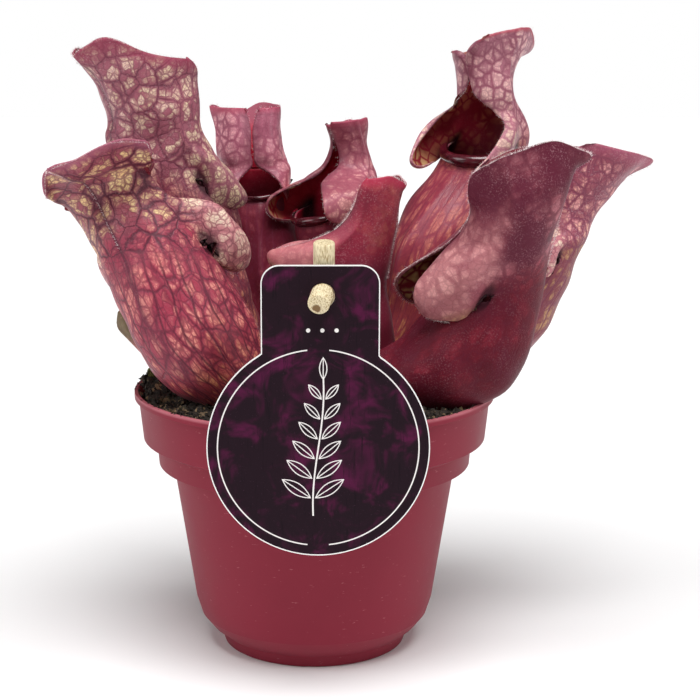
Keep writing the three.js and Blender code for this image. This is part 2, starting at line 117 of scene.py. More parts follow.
class Net:
    """A group's or material's nodes, added one after another."""

    def __init__(self, tree):
        self.tree = tree

    def feed(self, socket, value):
        """Links a socket to another one, or sets its constant."""
        if isinstance(value, bpy.types.NodeSocket):
            self.tree.links.new(value, socket)
        elif socket.type == "RGBA":
            socket.default_value = (*value, 1)
        else:
            socket.default_value = value

    def add(self, kind, feeds=(), **settings):
        """A new node; the feeds say what goes into its inputs, by their name or number."""
        node = self.tree.nodes.new("ShaderNode" + kind)
        for key, value in settings.items():
            setattr(node, key, value)
        for key, value in dict(feeds).items():
            self.feed(node.inputs[key], value)
        return node

    def math(self, how, *values, clamp=False):
        return self.add("Math", enumerate(values), operation=how, use_clamp=clamp).outputs[0]

    def times(self, a, b):
        return self.math("MULTIPLY", a, b)

    def plus(self, a, b):
        return self.math("ADD", a, b)

    def minus(self, a, b):
        return self.math("SUBTRACT", a, b)

    def most(self, a, b):
        return self.math("MAXIMUM", a, b)

    def away_from(self, value, middle):
        return self.math("ABSOLUTE", self.minus(value, middle))

    def vector(self, how, a, b=(0, 0, 0)):
        node = self.add("VectorMath", {0: a, 1: b}, operation=how)
        return node.outputs["Value"] if how in ("LENGTH", "DISTANCE") else node.outputs[0]

    def scaled(self, vector, scale):
        return self.add("VectorMath", {0: vector, "Scale": scale}, operation="SCALE").outputs[0]

    def split(self, vector):
        return self.add("SeparateXYZ", {0: vector}).outputs

    def step(self, value, low, high, out_low=0.0, out_high=1.0):
        """Goes softly from out_low to out_high as the value goes from low to high."""
        feeds = {"Value": value, "From Min": low, "From Max": high, "To Min": out_low, "To Max": out_high}
        return self.add("MapRange", feeds, interpolation_type="SMOOTHSTEP").outputs[0]

    def mix(self, share, a, b):
        return self.add("Mix", {0: share, 6: a, 7: b}, data_type="RGBA", clamp_factor=True).outputs[2]

    def noise(self, where, scale, detail=3.0, rough=0.55, warp=0.0, out="Fac"):
        feeds = {"Vector": where, "Scale": scale, "Detail": detail, "Roughness": rough, "Distortion": warp}
        return self.add("TexNoise", feeds, noise_dimensions="3D").outputs[out]

    def cells(self, where, scale, feature="DISTANCE_TO_EDGE", out="Distance"):
        feeds = {"Vector": where, "Scale": scale, "Randomness": CELL_UNEVENNESS}
        return self.add("TexVoronoi", feeds, voronoi_dimensions="3D", feature=feature).outputs[out]

    def cell_tone(self, where, scale):
        """A value for each cell, drawn by chance."""
        return self.add("SeparateColor", {0: self.cells(where, scale, "F1", "Color")}).outputs[0]

    def bump(self, height, strength, distance, under=()):
        """A bump in mm; under is the Normal of a bump that it lies on."""
        feeds = {"Height": height, "Strength": strength, "Distance": distance * MM, **dict(under)}
        return {"Normal": self.add("Bump", feeds).outputs[0]}

    def group(self, tree, **values):
        return self.add("Group", values, node_tree=tree).outputs

    def give(self, out, **values):
        """Feeds a group's outputs."""
        for name, value in values.items():
            self.feed(out[name], value)
        return self.tree


class Finish(Net):
    """A new material: its place in mm, and the nodes that feed its shader."""

    def __init__(self, name):
        self.material = bpy.data.materials.new(name)
        self.material.use_nodes = True
        super().__init__(self.material.node_tree)
        self.mm = self.scaled(self.add("TexCoord").outputs["Object"], PER_METRE)

    def form(self):
        """A leaf's own attribute: height up it, turn round it, and closeness to its hood's edge."""
        return self.split(self.add("Attribute", attribute_name="form").outputs["Vector"])

    def done(self, colour, rough, bump=(), **others):
        """Feeds the shader; in the names of its other inputs, _ stands for a space."""
        feeds = {"Base Color": colour, "Roughness": rough, **dict(bump)}
        feeds.update({name.replace("_", " "): value for name, value in others.items()})
        shader = self.tree.nodes["Principled BSDF"]
        for name, value in feeds.items():
            self.feed(shader.inputs[name], value)
        return self.material


def new_group(name, places, numbers, outputs):
    """A node group, with its vector inputs, its number inputs and their defaults, and its number outputs."""
    tree = bpy.data.node_groups.new(name, "ShaderNodeTree")
    for title in places:
        tree.interface.new_socket(title, in_out="INPUT", socket_type="NodeSocketVector")
    for title, value in numbers.items():
        tree.interface.new_socket(title, in_out="INPUT", socket_type="NodeSocketFloat").default_value = value
    for title in outputs:
        tree.interface.new_socket(title, in_out="OUTPUT", socket_type="NodeSocketFloat")
    return Net(tree), tree.nodes.new("NodeGroupInput").outputs, tree.nodes.new("NodeGroupOutput").inputs


def vein_group():
    """Veins on a leaf: wide soft ones round large cells, and fine ones round the small cells in them.

    Where is in large cells, Place in mm; Wander says how far the veins stray from straight lines.
    """
    net, given, out = new_group(
        "vein_net", ["Where", "Place"], {"Wander": 0.5, "Vein": 0.1, "Fineness": 3.3},
        ["Vein", "Halo", "Fine", "Blob", "Tone"])
    mm, where, fineness = given["Place"], given["Where"], given["Fineness"]
    for scale, share in ((0.09, 1.0), (0.5, 0.35)):
        stray = net.vector("SUBTRACT", net.noise(mm, scale, 2.0, out="Color"), (0.5, 0.5, 0.5))
        where = net.vector("ADD", where, net.scaled(stray, net.times(given["Wander"], share)))
    large = net.cells(where, 1.0)
    small = net.cells(where, fineness)
    tiny = net.cells(where, net.times(fineness, 2.1))
    width = net.times(given["Vein"], net.step(net.noise(mm, 0.07, 1.0), 0.3, 0.7, 0.6, 1.7))
    heart = net.times(net.step(large, 0.03, 0.2), net.step(small, 0.02, 0.15))
    return net.give(
        out, Vein=net.step(large, width, net.times(width, 0.1)), Halo=net.step(large, 0.26, 0.0),
        Fine=net.step(small, 0.13, 0.0), Blob=net.times(heart, net.step(tiny, 0.0, 0.17, 0.3, 1.0)),
        Tone=net.cell_tone(where, fineness))


def felt_group():
    """The fine felt of short hairs and pores on a leaf."""
    net, given, out = new_group("felt", ["Place"], {"Amount": 0.5}, ["Light", "Height"])
    grain = net.noise(given["Place"], 1.9, 2.0, 0.7)
    patch = net.noise(given["Place"], 0.16, 3.0, 0.6)
    speck = net.times(net.step(grain, 0.50, 0.70), net.step(patch, 0.3, 0.7))
    return net.give(out, Light=net.times(speck, given["Amount"]), Height=grain)


VEINS = vein_group()
FELT = felt_group()


# ---------------------------------------------------------------- leaf finishes
PIT_TURN = 0.539
PIT_HEIGHT = 0.503
# painted shade: the near-black round the pit behind each ear, on the leaf's outside
PIT_SHADE_COLOUR = (0.035, 0.006, 0.012)
# painted shade: the near-black inside the leaf, low down behind the hole
HOLE_SHADE_COLOUR = (0.02, 0.002, 0.005)
INNER_HAIR = (0.6, 0.3, 0.3)
SHEEN_TINT = (1.0, 0.75, 0.8)


def leaf_skin(name, look):
    """A leaf's outer finish."""
    look = SimpleNamespace(**look)
    net = Finish(name)
    mm = net.mm
    height, turn, edge = net.form()
    felt = net.group(FELT, Place=mm, Amount=look.felt)
    patch = net.noise(mm, look.patch, 3.0, 0.5)
    wash = net.minus(net.noise(mm, 0.035, 2.0, 0.5), 0.5)

    def washed(value, share):
        """The value, a little different from place to place."""
        return net.plus(value, net.times(wash, share))

    on_hood = net.step(washed(height, 0.12), *look.hood_from)
    # long cells on the tube, round ones on the hood
    width, length = look.tube_cell
    uv = net.add("UVMap", uv_map="leaf").outputs[0]
    long_ones = net.group(
        VEINS, Where=net.vector("MULTIPLY", uv, (100 / width, 100 / length, 0)), Place=mm, Fineness=2.6,
        Vein=look.vein_width * 0.75, Wander=look.wander * 0.5)
    round_ones = net.group(
        VEINS, Where=net.scaled(mm, 1 / look.cell), Place=mm, Fineness=look.fineness, Vein=look.vein_width,
        Wander=look.wander)
    nearly = net.step(height, 0.42, 0.5)
    below = net.minus(1.0, nearly)
    vein, halo, fine, blob, tone = (
        net.plus(net.times(upper, nearly), net.times(lower, below))
        for upper, lower in zip(round_ones, long_ones))
    low = net.step(washed(height, 0.5), 0.40, 0.10)
    ear = net.times(net.step(turn, 0.47, 0.6), net.step(height, 0.49, 0.505))
    ear = net.times(ear, net.step(washed(height, 0.2), 0.86, 0.56, 0.0, look.ear_share))
    off_ear = net.minus(1.0, net.times(ear, 0.75))
    # the ground colour, and the pale blobs in the hearts of the cells
    ground = net.mix(on_hood, look.belly, look.hood)
    ground = net.mix(net.times(low, 0.5), ground, look.foot)
    ground = net.mix(ear, ground, look.ear)
    pale = net.mix(tone, look.hood_pale, look.hood_pale_too)
    pale = net.mix(on_hood, look.belly_pale, pale)
    pale = net.mix(net.times(low, 0.85), pale, look.foot_pale)
    pale = net.mix(ear, pale, look.ear_pale)
    pale = net.mix(net.times(ear, net.step(height, 0.535, 0.51)), pale, look.ear_low)
    chance = net.plus(patch, net.times(net.minus(tone, 0.5), look.scatter))
    chance = net.plus(chance, net.times(ear, look.ear_chance))
    amount = net.times(net.step(chance, *look.pale_from), net.step(on_hood, 0.0, 1.0, look.belly_mottle, 1.0))
    haze = net.times(net.step(halo, 0.8, 0.0, 1 - look.cellular, 1.0), net.times(amount, look.haze))
    colour = net.mix(net.most(haze, net.times(amount, blob)), ground, pale)
    # veins, wide and fine, over darker surroundings
    colour = net.mix(net.times(fine, look.fine_share), colour, look.vein)
    surround = net.times(off_ear, net.step(nearly, 0, 1, look.halo * 0.5, look.halo))
    colour = net.mix(net.times(halo, surround), colour, look.dark)
    ribs = net.plus(net.times(turn, math.pi * look.ribs), net.times(wash, 5.0))
    rib = net.step(net.math("ABSOLUTE", net.math("SINE", ribs)), 0.36, 0.03)
    rib = net.times(rib, net.step(height, 0.56, 0.4, 0.0, look.rib_share))
    midrib = net.times(net.step(turn, 0.018, 0.004), net.step(height, 0.3, 0.5, 0.3, look.midrib))
    wide = net.times(vein, net.step(nearly, 0, 1, look.vein_share * 0.65, look.vein_share))
    share = net.most(net.times(wide, off_ear), net.most(rib, midrib))
    colour = net.mix(share, colour, look.vein)
    # darker patches at random; painted shade along the keel; and along the hood's free edges a dark line that
    # is partly the leaf's own colour and partly painted shade of the creases
    shade = net.times(net.step(patch, 0.6, 0.3), look.shade)
    shade = net.most(shade, net.step(turn, 0.10, 0.02, 0.0, look.midrib * 0.4))
    shade = net.most(shade, net.times(edge, net.step(height, 0.57, 0.64, 0.0, 0.5)))
    colour = net.mix(shade, colour, look.dark)
    # the top edge, painted shade round the pit behind the ear, and the hairs
    rim = net.step(washed(height, 0.06), *look.rim_from, 0.0, look.rim_share)
    colour = net.mix(rim, colour, look.rim)
    across = net.times(net.minus(turn, PIT_TURN), 56.0)
    up = net.times(net.minus(height, PIT_HEIGHT), 90.0)
    reach = net.math("SQRT", net.plus(net.times(across, across), net.times(up, up)))
    # painted shade: the skin darkens towards the pit
    pit = net.step(reach, 1.5, 4.0, 0.85, 0.0)
    colour = net.mix(pit, colour, PIT_SHADE_COLOUR)
    hairy = net.times(net.step(pit, 0.5, 0.0), net.step(on_hood, 0.0, 1.0, 0.4, 1.0))
    colour = net.mix(net.times(felt["Light"], hairy), colour, look.hair)
    raised = net.minus(net.times(blob, 0.5), net.times(share, 0.6))
    relief = net.bump(felt["Height"], look.felt_bump, 0.2, net.bump(raised, look.relief, 0.5))
    return net.done(
        colour, net.step(patch, 0.3, 0.7, look.rough - 0.07, look.rough + 0.07), relief,
        Specular_IOR_Level=look.shine, Sheen_Weight=look.sheen, Sheen_Roughness=0.35, Sheen_Tint=SHEEN_TINT)


def inner_skin(name, deep, hood, glow, brim, pale, pale_share, cells_from=0.62):
    """The inside of a leaf: dark in the tube, redder under the hood, with pale cells along its edge."""
    net = Finish(name)
    mm = net.mm
    height, turn, edge = net.form()
    veins = net.group(VEINS, Where=net.scaled(mm, 1 / 4.2), Place=mm, Wander=0.4, Vein=0.16, Fineness=2.3)
    vein = veins["Vein"]
    felt = net.group(FELT, Place=mm, Amount=0.12)["Light"]
    patch = net.noise(mm, 0.1, 3.0)
    between = net.minus(1.0, vein)
    # light shines through the hood between its veins
    colour = net.mix(net.times(between, net.step(patch, 0.40, 0.62)), hood, glow)
    colour = net.mix(net.step(height, 0.40, 0.56), deep, colour)
    # painted shade: the inside darkens along the hood's free edges, where they curl in
    colour = net.mix(net.times(edge, net.step(height, 0.56, 0.62, 0.0, 0.9)), colour, deep)
    colour = net.mix(net.step(height, 0.80, 0.94), colour, brim)
    # painted shade: inside the leaf, low behind the hole, the colour goes near-black
    shade_by_hole = net.times(net.step(turn, 0.42, 0.5), net.step(turn, 0.66, 0.58))
    colour = net.mix(net.times(shade_by_hole, net.step(height, 0.54, 0.504)), colour, HOLE_SHADE_COLOUR)
    # pale cells near the mouth's sides and along the hood's free edge
    near_edge = net.times(net.step(turn, cells_from, cells_from + 0.16), net.step(height, 0.7, 0.55))
    near_edge = net.times(near_edge, net.step(height, 0.502, 0.515))
    free_edge = net.times(edge, net.step(height, 0.90, 0.80))
    free_edge = net.times(free_edge, net.step(turn, 0.64, 0.72, 0.0, 0.6))
    share = net.math("ADD", near_edge, free_edge, clamp=True)
    share = net.times(share, net.step(patch, 0.35, 0.55, pale_share * 0.3, pale_share))
    share = net.times(share, net.times(between, net.step(turn, 0.92, 0.84)))
    colour = net.mix(felt, net.mix(share, colour, pale), INNER_HAIR)
    return net.done(colour, 0.5, net.bump(vein, 0.15, 0.4), Specular_IOR_Level=0.2)


def lip_skin():
    """The rolled lip: smooth, wet and dark."""
    net = Finish("wine_lip")
    streak = net.noise(net.mm, 0.35, 3.0, 0.5, 0.4)
    colour = net.mix(net.step(streak, 0.35, 0.7), (0.05, 0.003, 0.008), (0.12, 0.010, 0.02))
    return net.done(colour, 0.22, net.bump(streak, 0.15, 0.3), Coat_Weight=0.35, Coat_Roughness=0.12)


def hair_finish():
    net = Finish("white_hairs")
    return net.done(net.mix(net.noise(net.mm, 0.4, 2.0), (0.86, 0.62, 0.64), (0.95, 0.90, 0.88)), 0.6)


# what each leaf's skin has; a leaf gives its own values over these
BASIC = dict(
    cell=8.5, tube_cell=(5.5, 7.0), wander=0.5, vein_width=0.06, fineness=3.4, felt=0.15, felt_bump=0.2,
    patch=0.07, scatter=0.3, pale_from=(0.37, 0.5), haze=0.35, cellular=1.0, halo=0.38, belly_mottle=0.75,
    hood_from=(0.5, 0.6), relief=0.45, hood=(0.40, 0.095, 0.125), hood_pale=(0.96, 0.80, 0.40),
    hood_pale_too=(0.90, 0.62, 0.30), belly=(0.42, 0.045, 0.085), belly_pale=(0.90, 0.36, 0.29),
    foot=(0.40, 0.06, 0.03), foot_pale=(0.82, 0.34, 0.08), ear=(0.74, 0.29, 0.31), ear_pale=(1.0, 0.84, 0.64),
    ear_low=(1.0, 0.82, 0.55), ear_share=0.95, ear_chance=0.3, vein=(0.08, 0.010, 0.025), fine_share=0.5,
    vein_share=0.9, ribs=11, rib_share=0.8, midrib=0.9, shade=0.25, dark=(0.14, 0.025, 0.05),
    hair=(0.80, 0.62, 0.62), rim=(0.44, 0.12, 0.19), rim_share=0.75, rim_from=(0.94, 0.99), rough=0.45,
    sheen=0.05, shine=0.28)
SMALL_CELLS = dict(BASIC, cell=4.4, fineness=2.2)
DUSTY = dict(
    SMALL_CELLS, hood=(0.56, 0.17, 0.25), hood_pale=(0.96, 0.52, 0.55), hood_pale_too=(0.86, 0.38, 0.43),
    vein=(0.24, 0.035, 0.08), vein_share=0.3, fine_share=0.2, halo=0.22, haze=0.5, scatter=0.2,
    pale_from=(0.40, 0.62), belly=(0.20, 0.017, 0.036), belly_pale=(0.42, 0.09, 0.12),
    foot=(0.17, 0.008, 0.02),
    foot_pale=(0.22, 0.018, 0.03), ear=(0.52, 0.14, 0.20), ear_pale=(0.86, 0.40, 0.44), rib_share=0.4,
    rough=0.38, rim=(0.50, 0.08, 0.14), midrib=0.4, relief=0.2)
VELVET = dict(SMALL_CELLS, haze=0.8, scatter=0.06, felt=0.4, rough=0.5)
SKINS = {
    "pitcher_left_front": ("net_veined_skin", BASIC),
    "pitcher_left_back": ("blotched_skin", dict(
        BASIC, cell=7.0, fineness=2.9, hood=(0.48, 0.14, 0.195), hood_pale=(1.0, 0.84, 0.52), vein_width=0.05,
        hood_pale_too=(1.0, 0.70, 0.58), vein=(0.13, 0.022, 0.05), vein_share=0.6, fine_share=0.4, halo=0.2,
        pale_from=(0.38, 0.50), haze=0.3, hood_from=(0.40, 0.52), belly=(0.26, 0.04, 0.07),
        ear=(0.46, 0.16, 0.20), ear_pale=(0.96, 0.78, 0.50), felt=0.3, patch=0.09, scatter=0.45,
        rim=(0.36, 0.05, 0.10))),
    "pitcher_right_front": ("velvet_skin", dict(
        VELVET, cell=5.0, hood=(0.105, 0.011, 0.026), hood_pale=(0.56, 0.21, 0.24),
        hood_pale_too=(0.42, 0.12, 0.15), pale_from=(0.38, 0.68), ear_chance=0.12, cellular=0.5, halo=0.2,
        vein=(0.08, 0.010, 0.026), vein_share=0.15, fine_share=0.2, relief=0.2, belly=(0.085, 0.003, 0.010),
        belly_pale=(0.32, 0.03, 0.055), foot=(0.11, 0.005, 0.012), foot_pale=(0.2, 0.015, 0.025),
        ear=(0.42, 0.115, 0.14), ear_pale=(0.80, 0.40, 0.38), rib_share=0.0, ear_share=0.8,
        ear_low=(0.70, 0.50, 0.20), midrib=0.2, felt_bump=0.6, hair=(0.52, 0.27, 0.31), sheen=0.03,
        shine=0.12,
        belly_mottle=0.6, rim=(0.10, 0.010, 0.026), rim_share=0.65, patch=0.065, rim_from=(0.84, 0.98))),
    "pitcher_right_back": ("pink_celled_skin", dict(
        SMALL_CELLS, hood=(0.34, 0.075, 0.11), hood_pale=(0.88, 0.50, 0.37), hood_pale_too=(0.76, 0.31, 0.33),
        pale_from=(0.40, 0.58), haze=0.5, vein=(0.18, 0.03, 0.07), vein_share=0.5, halo=0.4,
        belly=(0.24, 0.05, 0.06), belly_pale=(0.58, 0.34, 0.15), felt=0.3, rim=(0.40, 0.09, 0.15),
        dark=(0.18, 0.035, 0.07))),
    "pitcher_tall_right": ("striped_skin", dict(
        SMALL_CELLS, cell=4.2, tube_cell=(4.0, 9.0), hood=(0.48, 0.17, 0.23), hood_pale=(0.94, 0.60, 0.55),
        hood_pale_too=(0.84, 0.44, 0.46), haze=0.6, vein=(0.20, 0.025, 0.06), vein_share=0.35,
        fine_share=0.25,
        belly=(0.37, 0.05, 0.08), belly_pale=(0.68, 0.22, 0.17), foot=(0.40, 0.07, 0.05),
        foot_pale=(0.72, 0.30, 0.12), rib_share=0.6, ribs=19, halo=0.2, relief=0.25, rough=0.36, felt=0.08,
        ear=(0.62, 0.25, 0.31), ear_pale=(0.98, 0.70, 0.55), rim=(0.5, 0.08, 0.12), rim_from=(0.975, 0.99))),
    "pitcher_back_left": ("dusty_pink_skin", DUSTY),
    "pitcher_back_middle": ("mauve_pink_skin", dict(
        DUSTY, hood=(0.46, 0.13, 0.18), hood_pale=(0.82, 0.42, 0.42), hood_pale_too=(0.72, 0.33, 0.34),
        ear=(0.46, 0.12, 0.16), ear_pale=(0.84, 0.42, 0.38), ear_chance=0.1)),
    "pitcher_young_front": ("young_velvet_skin", dict(
        VELVET, cell=4.0, hood=(0.31, 0.018, 0.045), hood_pale=(0.60, 0.11, 0.13),
        hood_pale_too=(0.50, 0.13, 0.10), pale_from=(0.45, 0.72), cellular=0.3, halo=0.1,
        vein=(0.13, 0.01, 0.03), vein_share=0.1, fine_share=0.1, relief=0.15, belly=(0.20, 0.015, 0.035),
        belly_pale=(0.44, 0.09, 0.12), foot=(0.15, 0.01, 0.02), foot_pale=(0.2, 0.02, 0.03),
        ear=(0.50, 0.09, 0.14), ear_pale=(0.80, 0.32, 0.32), rib_share=0.1, felt_bump=0.5,
        hair=(0.66, 0.34, 0.38), sheen=0.08, rim=(0.50, 0.03, 0.08), rim_share=0.8)),
}
BRIM = (0.20, 0.03, 0.045)
DARK_INSIDE = ("dark_inside", (0.02, 0.001, 0.004), (0.16, 0.006, 0.018), (0.22, 0.02, 0.03), BRIM,
               (0.60, 0.50, 0.16), 0.8)
NETTED_INSIDE = ("netted_inside", (0.04, 0.002, 0.006), (0.26, 0.014, 0.028), (0.36, 0.05, 0.04), BRIM,
                 (0.74, 0.54, 0.22), 0.95, 0.44)
CRIMSON_INSIDE = ("crimson_inside", (0.09, 0.003, 0.011), (0.50, 0.010, 0.038), (0.58, 0.025, 0.055),
                  (0.40, 0.10, 0.15), (0.74, 0.52, 0.24), 0.7)
VEINED_INSIDE = ("veined_inside", (0.09, 0.004, 0.013), (0.32, 0.014, 0.034), (0.56, 0.15, 0.09),
                 (0.44, 0.16, 0.13), (0.70, 0.48, 0.22), 0.8, 0.58)

# ---------------------------------------------------------------- the leaves' shape
# Heights on a leaf run from 0 at the root over 1 at the mouth to 2 at the hood's top; angles go round it in
# degrees from the back; lengths are in mm, on a leaf whose mouth is MODEL_MOUTH to each side.
MODEL_MOUTH = 17.5
ROOT_HEIGHT = 80
ROOT_RADIUS = 4
HOLE_ANGLE = 88
HOLE_MIDDLE = 97
HOLE_SPAN = 6.5
HOLE_RISE = 1.5
HOLE_DROP = 1.6
FAR_HOLE = 0.2
EAR_ANGLE = 114
EAR_FOOT = 0.985
EAR_TOP = 1.32
EAR_SAG = 6
LEVELS = [0, 0.25, 0.62, 1, 1.5, 2]
LEVEL_TILT = [-60, -42, -10, 12, 0, -2]
# how a leaf's side, back, height, half width and half depth stand at its second level, against its belly
FOOT_SHARES = (0.4, 0.45, 0.3, 0.56, 0.5)
HOOD_LEVELS = [1, 1.12, 1.3, 1.5, 1.75, 2]
HOOD_SQUARENESS = [0.85, 0.75, 0.75, 0.9, 0.95, 1]
RIM_ANGLES = [0, 18, 45, 80, 115, 150, 180]
RIM_WAVE = [-3, 0, 3, 0, -2, -3, -3]
SEAM_HEIGHTS = [0, 0.2, 0.6, 0.9, 1]
SEAM_RIDGE = [0, 2, 2.5, 1.2, 0.3]
WALL = 0.6
AROUND_SCALE = 18

# A leaf that has nothing special. face: where it looks; lean, roll, twist, dip, bank, tilt turn it, its hood
# or its mouth; ear and far_ear, ear_at and ear_height: the hood's lobes; lobe: how far they swell sideways;
# flare, brow, tip, droop and far_side shape the hood's top, and corner rounds it; margin: how far round each
# hood level reaches; valley: its crease; shelf: how the lip's ends climb; curl, far_curl: its rolled edges.
PLAIN_LEAF = dict(
    lean=-4, roll=0, twist=0, dip=0, bank=0, tilt=0, near=1, ear=8, far_ear=0, ear_at=1.08, ear_height=0.1,
    lobe=6, flare=3, brow=0, tip=4, droop=0, droop_at=0, far_side=0, far_at=50, corner=6, valley=0, shelf=3.0,
    curl=2.2, far_curl=9, roll_size=1, inside=DARK_INSIDE, hairs=3.5)
# belly, mouth, neck, top: how far to the side, back and up each level stands, its half width and half depth
PITCHERS = {
    "pitcher_right_front": dict(
        root=(14, -15), face=176, lean=-6, roll=3, twist=-6, curl=3.4, ear=18, ear_height=0.19, lobe=4.5,
        flare=0.5, dip=15, bank=-4, brow=8, far_side=-3, far_ear=12, far_curl=0.9, inside=NETTED_INSIDE,
        hairs=8,
        margin=[117, 137, 178, 172, 146, 118],
        belly=(-1, 29.5, 18, 18.5, 23.5), mouth=(-2, 42.5, 44, 15.5, 19),
        neck=(6, 50, 70, 14, 15), top=(4.5, 49.5, 81, 16, 21.5)),
    "pitcher_left_front": dict(
        root=(-11, -11), face=60, lean=-10, roll=28, twist=2, near=-1, curl=4.2, ear=12.5, ear_height=0.13,
        lobe=11.5, flare=5, dip=14, bank=-5, brow=7.5, far_side=-4, droop=10, droop_at=60, tip=6, corner=12,
        margin=[142, 163, 166, 174, 172, 165],
        belly=(18, 19, 25, 17.5, 20.5), mouth=(32.5, 20.5, 50.5, 17.5, 19),
        neck=(48.5, 24, 71.5, 16, 10.5), top=(44.5, 37.5, 77, 17.5, 13)),
    "pitcher_right_back": dict(
        root=(18, 2), face=190, lean=-4, roll=-7, twist=-7, ear=7.5, lobe=6, flare=2.5, dip=4, bank=-2,
        brow=9,
        far_side=4, margin=[150, 152, 166, 174, 147, 88],
        belly=(-11, 43, 22, 15.5, 20.5), mouth=(-13.5, 65.5, 47.5, 15.5, 13),
        neck=(-15.5, 70, 60, 13, 14.5), top=(-17.5, 77.5, 79, 14.5, 22)),
    "pitcher_left_back": dict(
        root=(-13, 24), face=36, lean=-10, roll=2, twist=-6, near=-1, curl=3.2, ear=7.5, ear_height=0.07,
        lobe=4,
        flare=2, dip=-11, bank=3, brow=-5.5, far_side=2, corner=18, margin=[150, 150, 166, 174, 151, 139],
        belly=(19.5, 19.5, 39, 16, 17.5), mouth=(23, 27, 74.5, 15, 24.5),
        neck=(23, 34.5, 94, 16.5, 16), top=(20.5, 41, 120, 13.5, 20.5)),
    "pitcher_tall_right": dict(
        root=(17, 27), face=-132, roll=6, twist=-2, ear=24.5, ear_height=0.12, lobe=7.5, tip=0, flare=2.5,
        dip=-6, bank=-25, brow=-1, curl=1.0, droop=7, droop_at=30, shelf=0.6, corner=14, roll_size=1.7,
        inside=VEINED_INSIDE, hairs=1.2, margin=[150, 130, 126, 170, 176, 152],
        belly=(7.5, 35, 51.5, 17, 18.5), mouth=(12.5, 53.5, 83.5, 14, 15.5),
        neck=(14.5, 49, 104.5, 11, 9), top=(14, 53, 122, 12.5, 15.5)),
    "pitcher_back_left": dict(
        root=(-7, 29), face=-86, lean=-9, roll=-3, twist=11, ear=6, ear_height=0.13, lobe=3, flare=4.5,
        dip=-13,
        bank=5, brow=2.5, far_side=-1, curl=0.3, corner=1, valley=4, inside=CRIMSON_INSIDE, hairs=1.2,
        margin=[128, 144, 174, 176, 175, 170],
        belly=(-11, 21, 39.5, 15.2, 13.5), mouth=(-11.5, 27, 70.5, 11.5, 12),
        neck=(-14.5, 27, 83, 11.5, 12.5), top=(-15.5, 31.5, 96.5, 11, 12.5)),
    "pitcher_back_middle": dict(
        root=(5, 28), face=-138, lean=-3, roll=-3, twist=-1, ear=12, ear_at=1.16, ear_height=0.22, lobe=8.5,
        curl=0.9, flare=2, dip=-14, bank=-6, brow=1, far_side=0.5, shelf=0.6, inside=CRIMSON_INSIDE,
        hairs=1.2,
        margin=[120, 140, 150, 158, 174, 168],
        belly=(-1.5, 12.5, 22.5, 10.5, 12), mouth=(-6, 9, 64, 14, 17),
        neck=(-8, 17, 78.5, 9, 8), top=(-4.5, 11.5, 93, 4.5, 7)),
    "pitcher_young_front": dict(
        root=(0, -1), face=168, roll=-3, ear=3, lobe=3, tilt=-26, flare=2, dip=4, bank=-6, brow=2, far_side=2,
        hairs=8, margin=[165, 165, 146, 122, 110, 100],
        belly=(-1, 11.5, 20, 11, 15), mouth=(-2, 5.5, 47, 11, 19),
        neck=(-2, 16, 62, 9, 12), top=(-3, 19.5, 76, 8, 8)),
}


def ease(x, low, high):
    t = np.clip((x - low) / (high - low), 0, 1)
    return t * t * (3 - 2 * t)


def hump(x, centre, width):
    return np.exp(-(((x - centre) / width) ** 2))


def hump_at(angle, degrees, width):
    """A hump at a place round the leaf; centre and width are in degrees."""
    return hump(angle, math.radians(degrees), math.radians(width))


def through(knots, values, t):
    """A smooth curve through the values at the knots."""
    k = np.asarray(knots, float)
    v = np.asarray(values, float)
    slope = np.empty_like(v)
    slope[1:-1] = (v[2:] - v[:-2]) / (k[2:] - k[:-2])
    slope[0] = (v[1] - v[0]) / (k[1] - k[0])
    slope[-1] = (v[-1] - v[-2]) / (k[-1] - k[-2])
    t = np.asarray(t, float)
    i = np.clip(np.searchsorted(k, t, side="right") - 1, 0, len(k) - 2)
    h = k[i + 1] - k[i]
    x = (t - k[i]) / h
    here = (2 * x**3 - 3 * x**2 + 1) * v[i] + (x**3 - 2 * x**2 + x) * h * slope[i]
    return here + (3 * x**2 - 2 * x**3) * v[i + 1] + (x**3 - x**2) * h * slope[i + 1]


def unit(vectors, least=0.0):
    """The vectors made one long; least keeps a vector of no length from being divided by nothing."""
    return vectors / (np.linalg.norm(vectors, axis=-1, keepdims=True) + least)


def turn_by(a, b, degrees):
    c = np.cos(np.radians(degrees))
    d = np.sin(np.radians(degrees))
    return a * c + b * d, b * c - a * d


def levels_of(p, k, root=0):
    """A leaf's measure k at each level: root, foot, belly, mouth, neck and top."""
    steps = [p[level][k] for level in ("belly", "mouth", "neck", "top")]
    return [root, FOOT_SHARES[k] * steps[0], *steps]


def hole_shape(angle, near):
    """Half of a round hole behind each ear, the one on the far side nearly closed."""
    away = (np.degrees(np.abs(angle)) - HOLE_MIDDLE) / HOLE_SPAN
    return np.sqrt(np.clip(1 - away**2, 0, 1)) * np.where(np.sign(angle) == near, 1, FAR_HOLE)


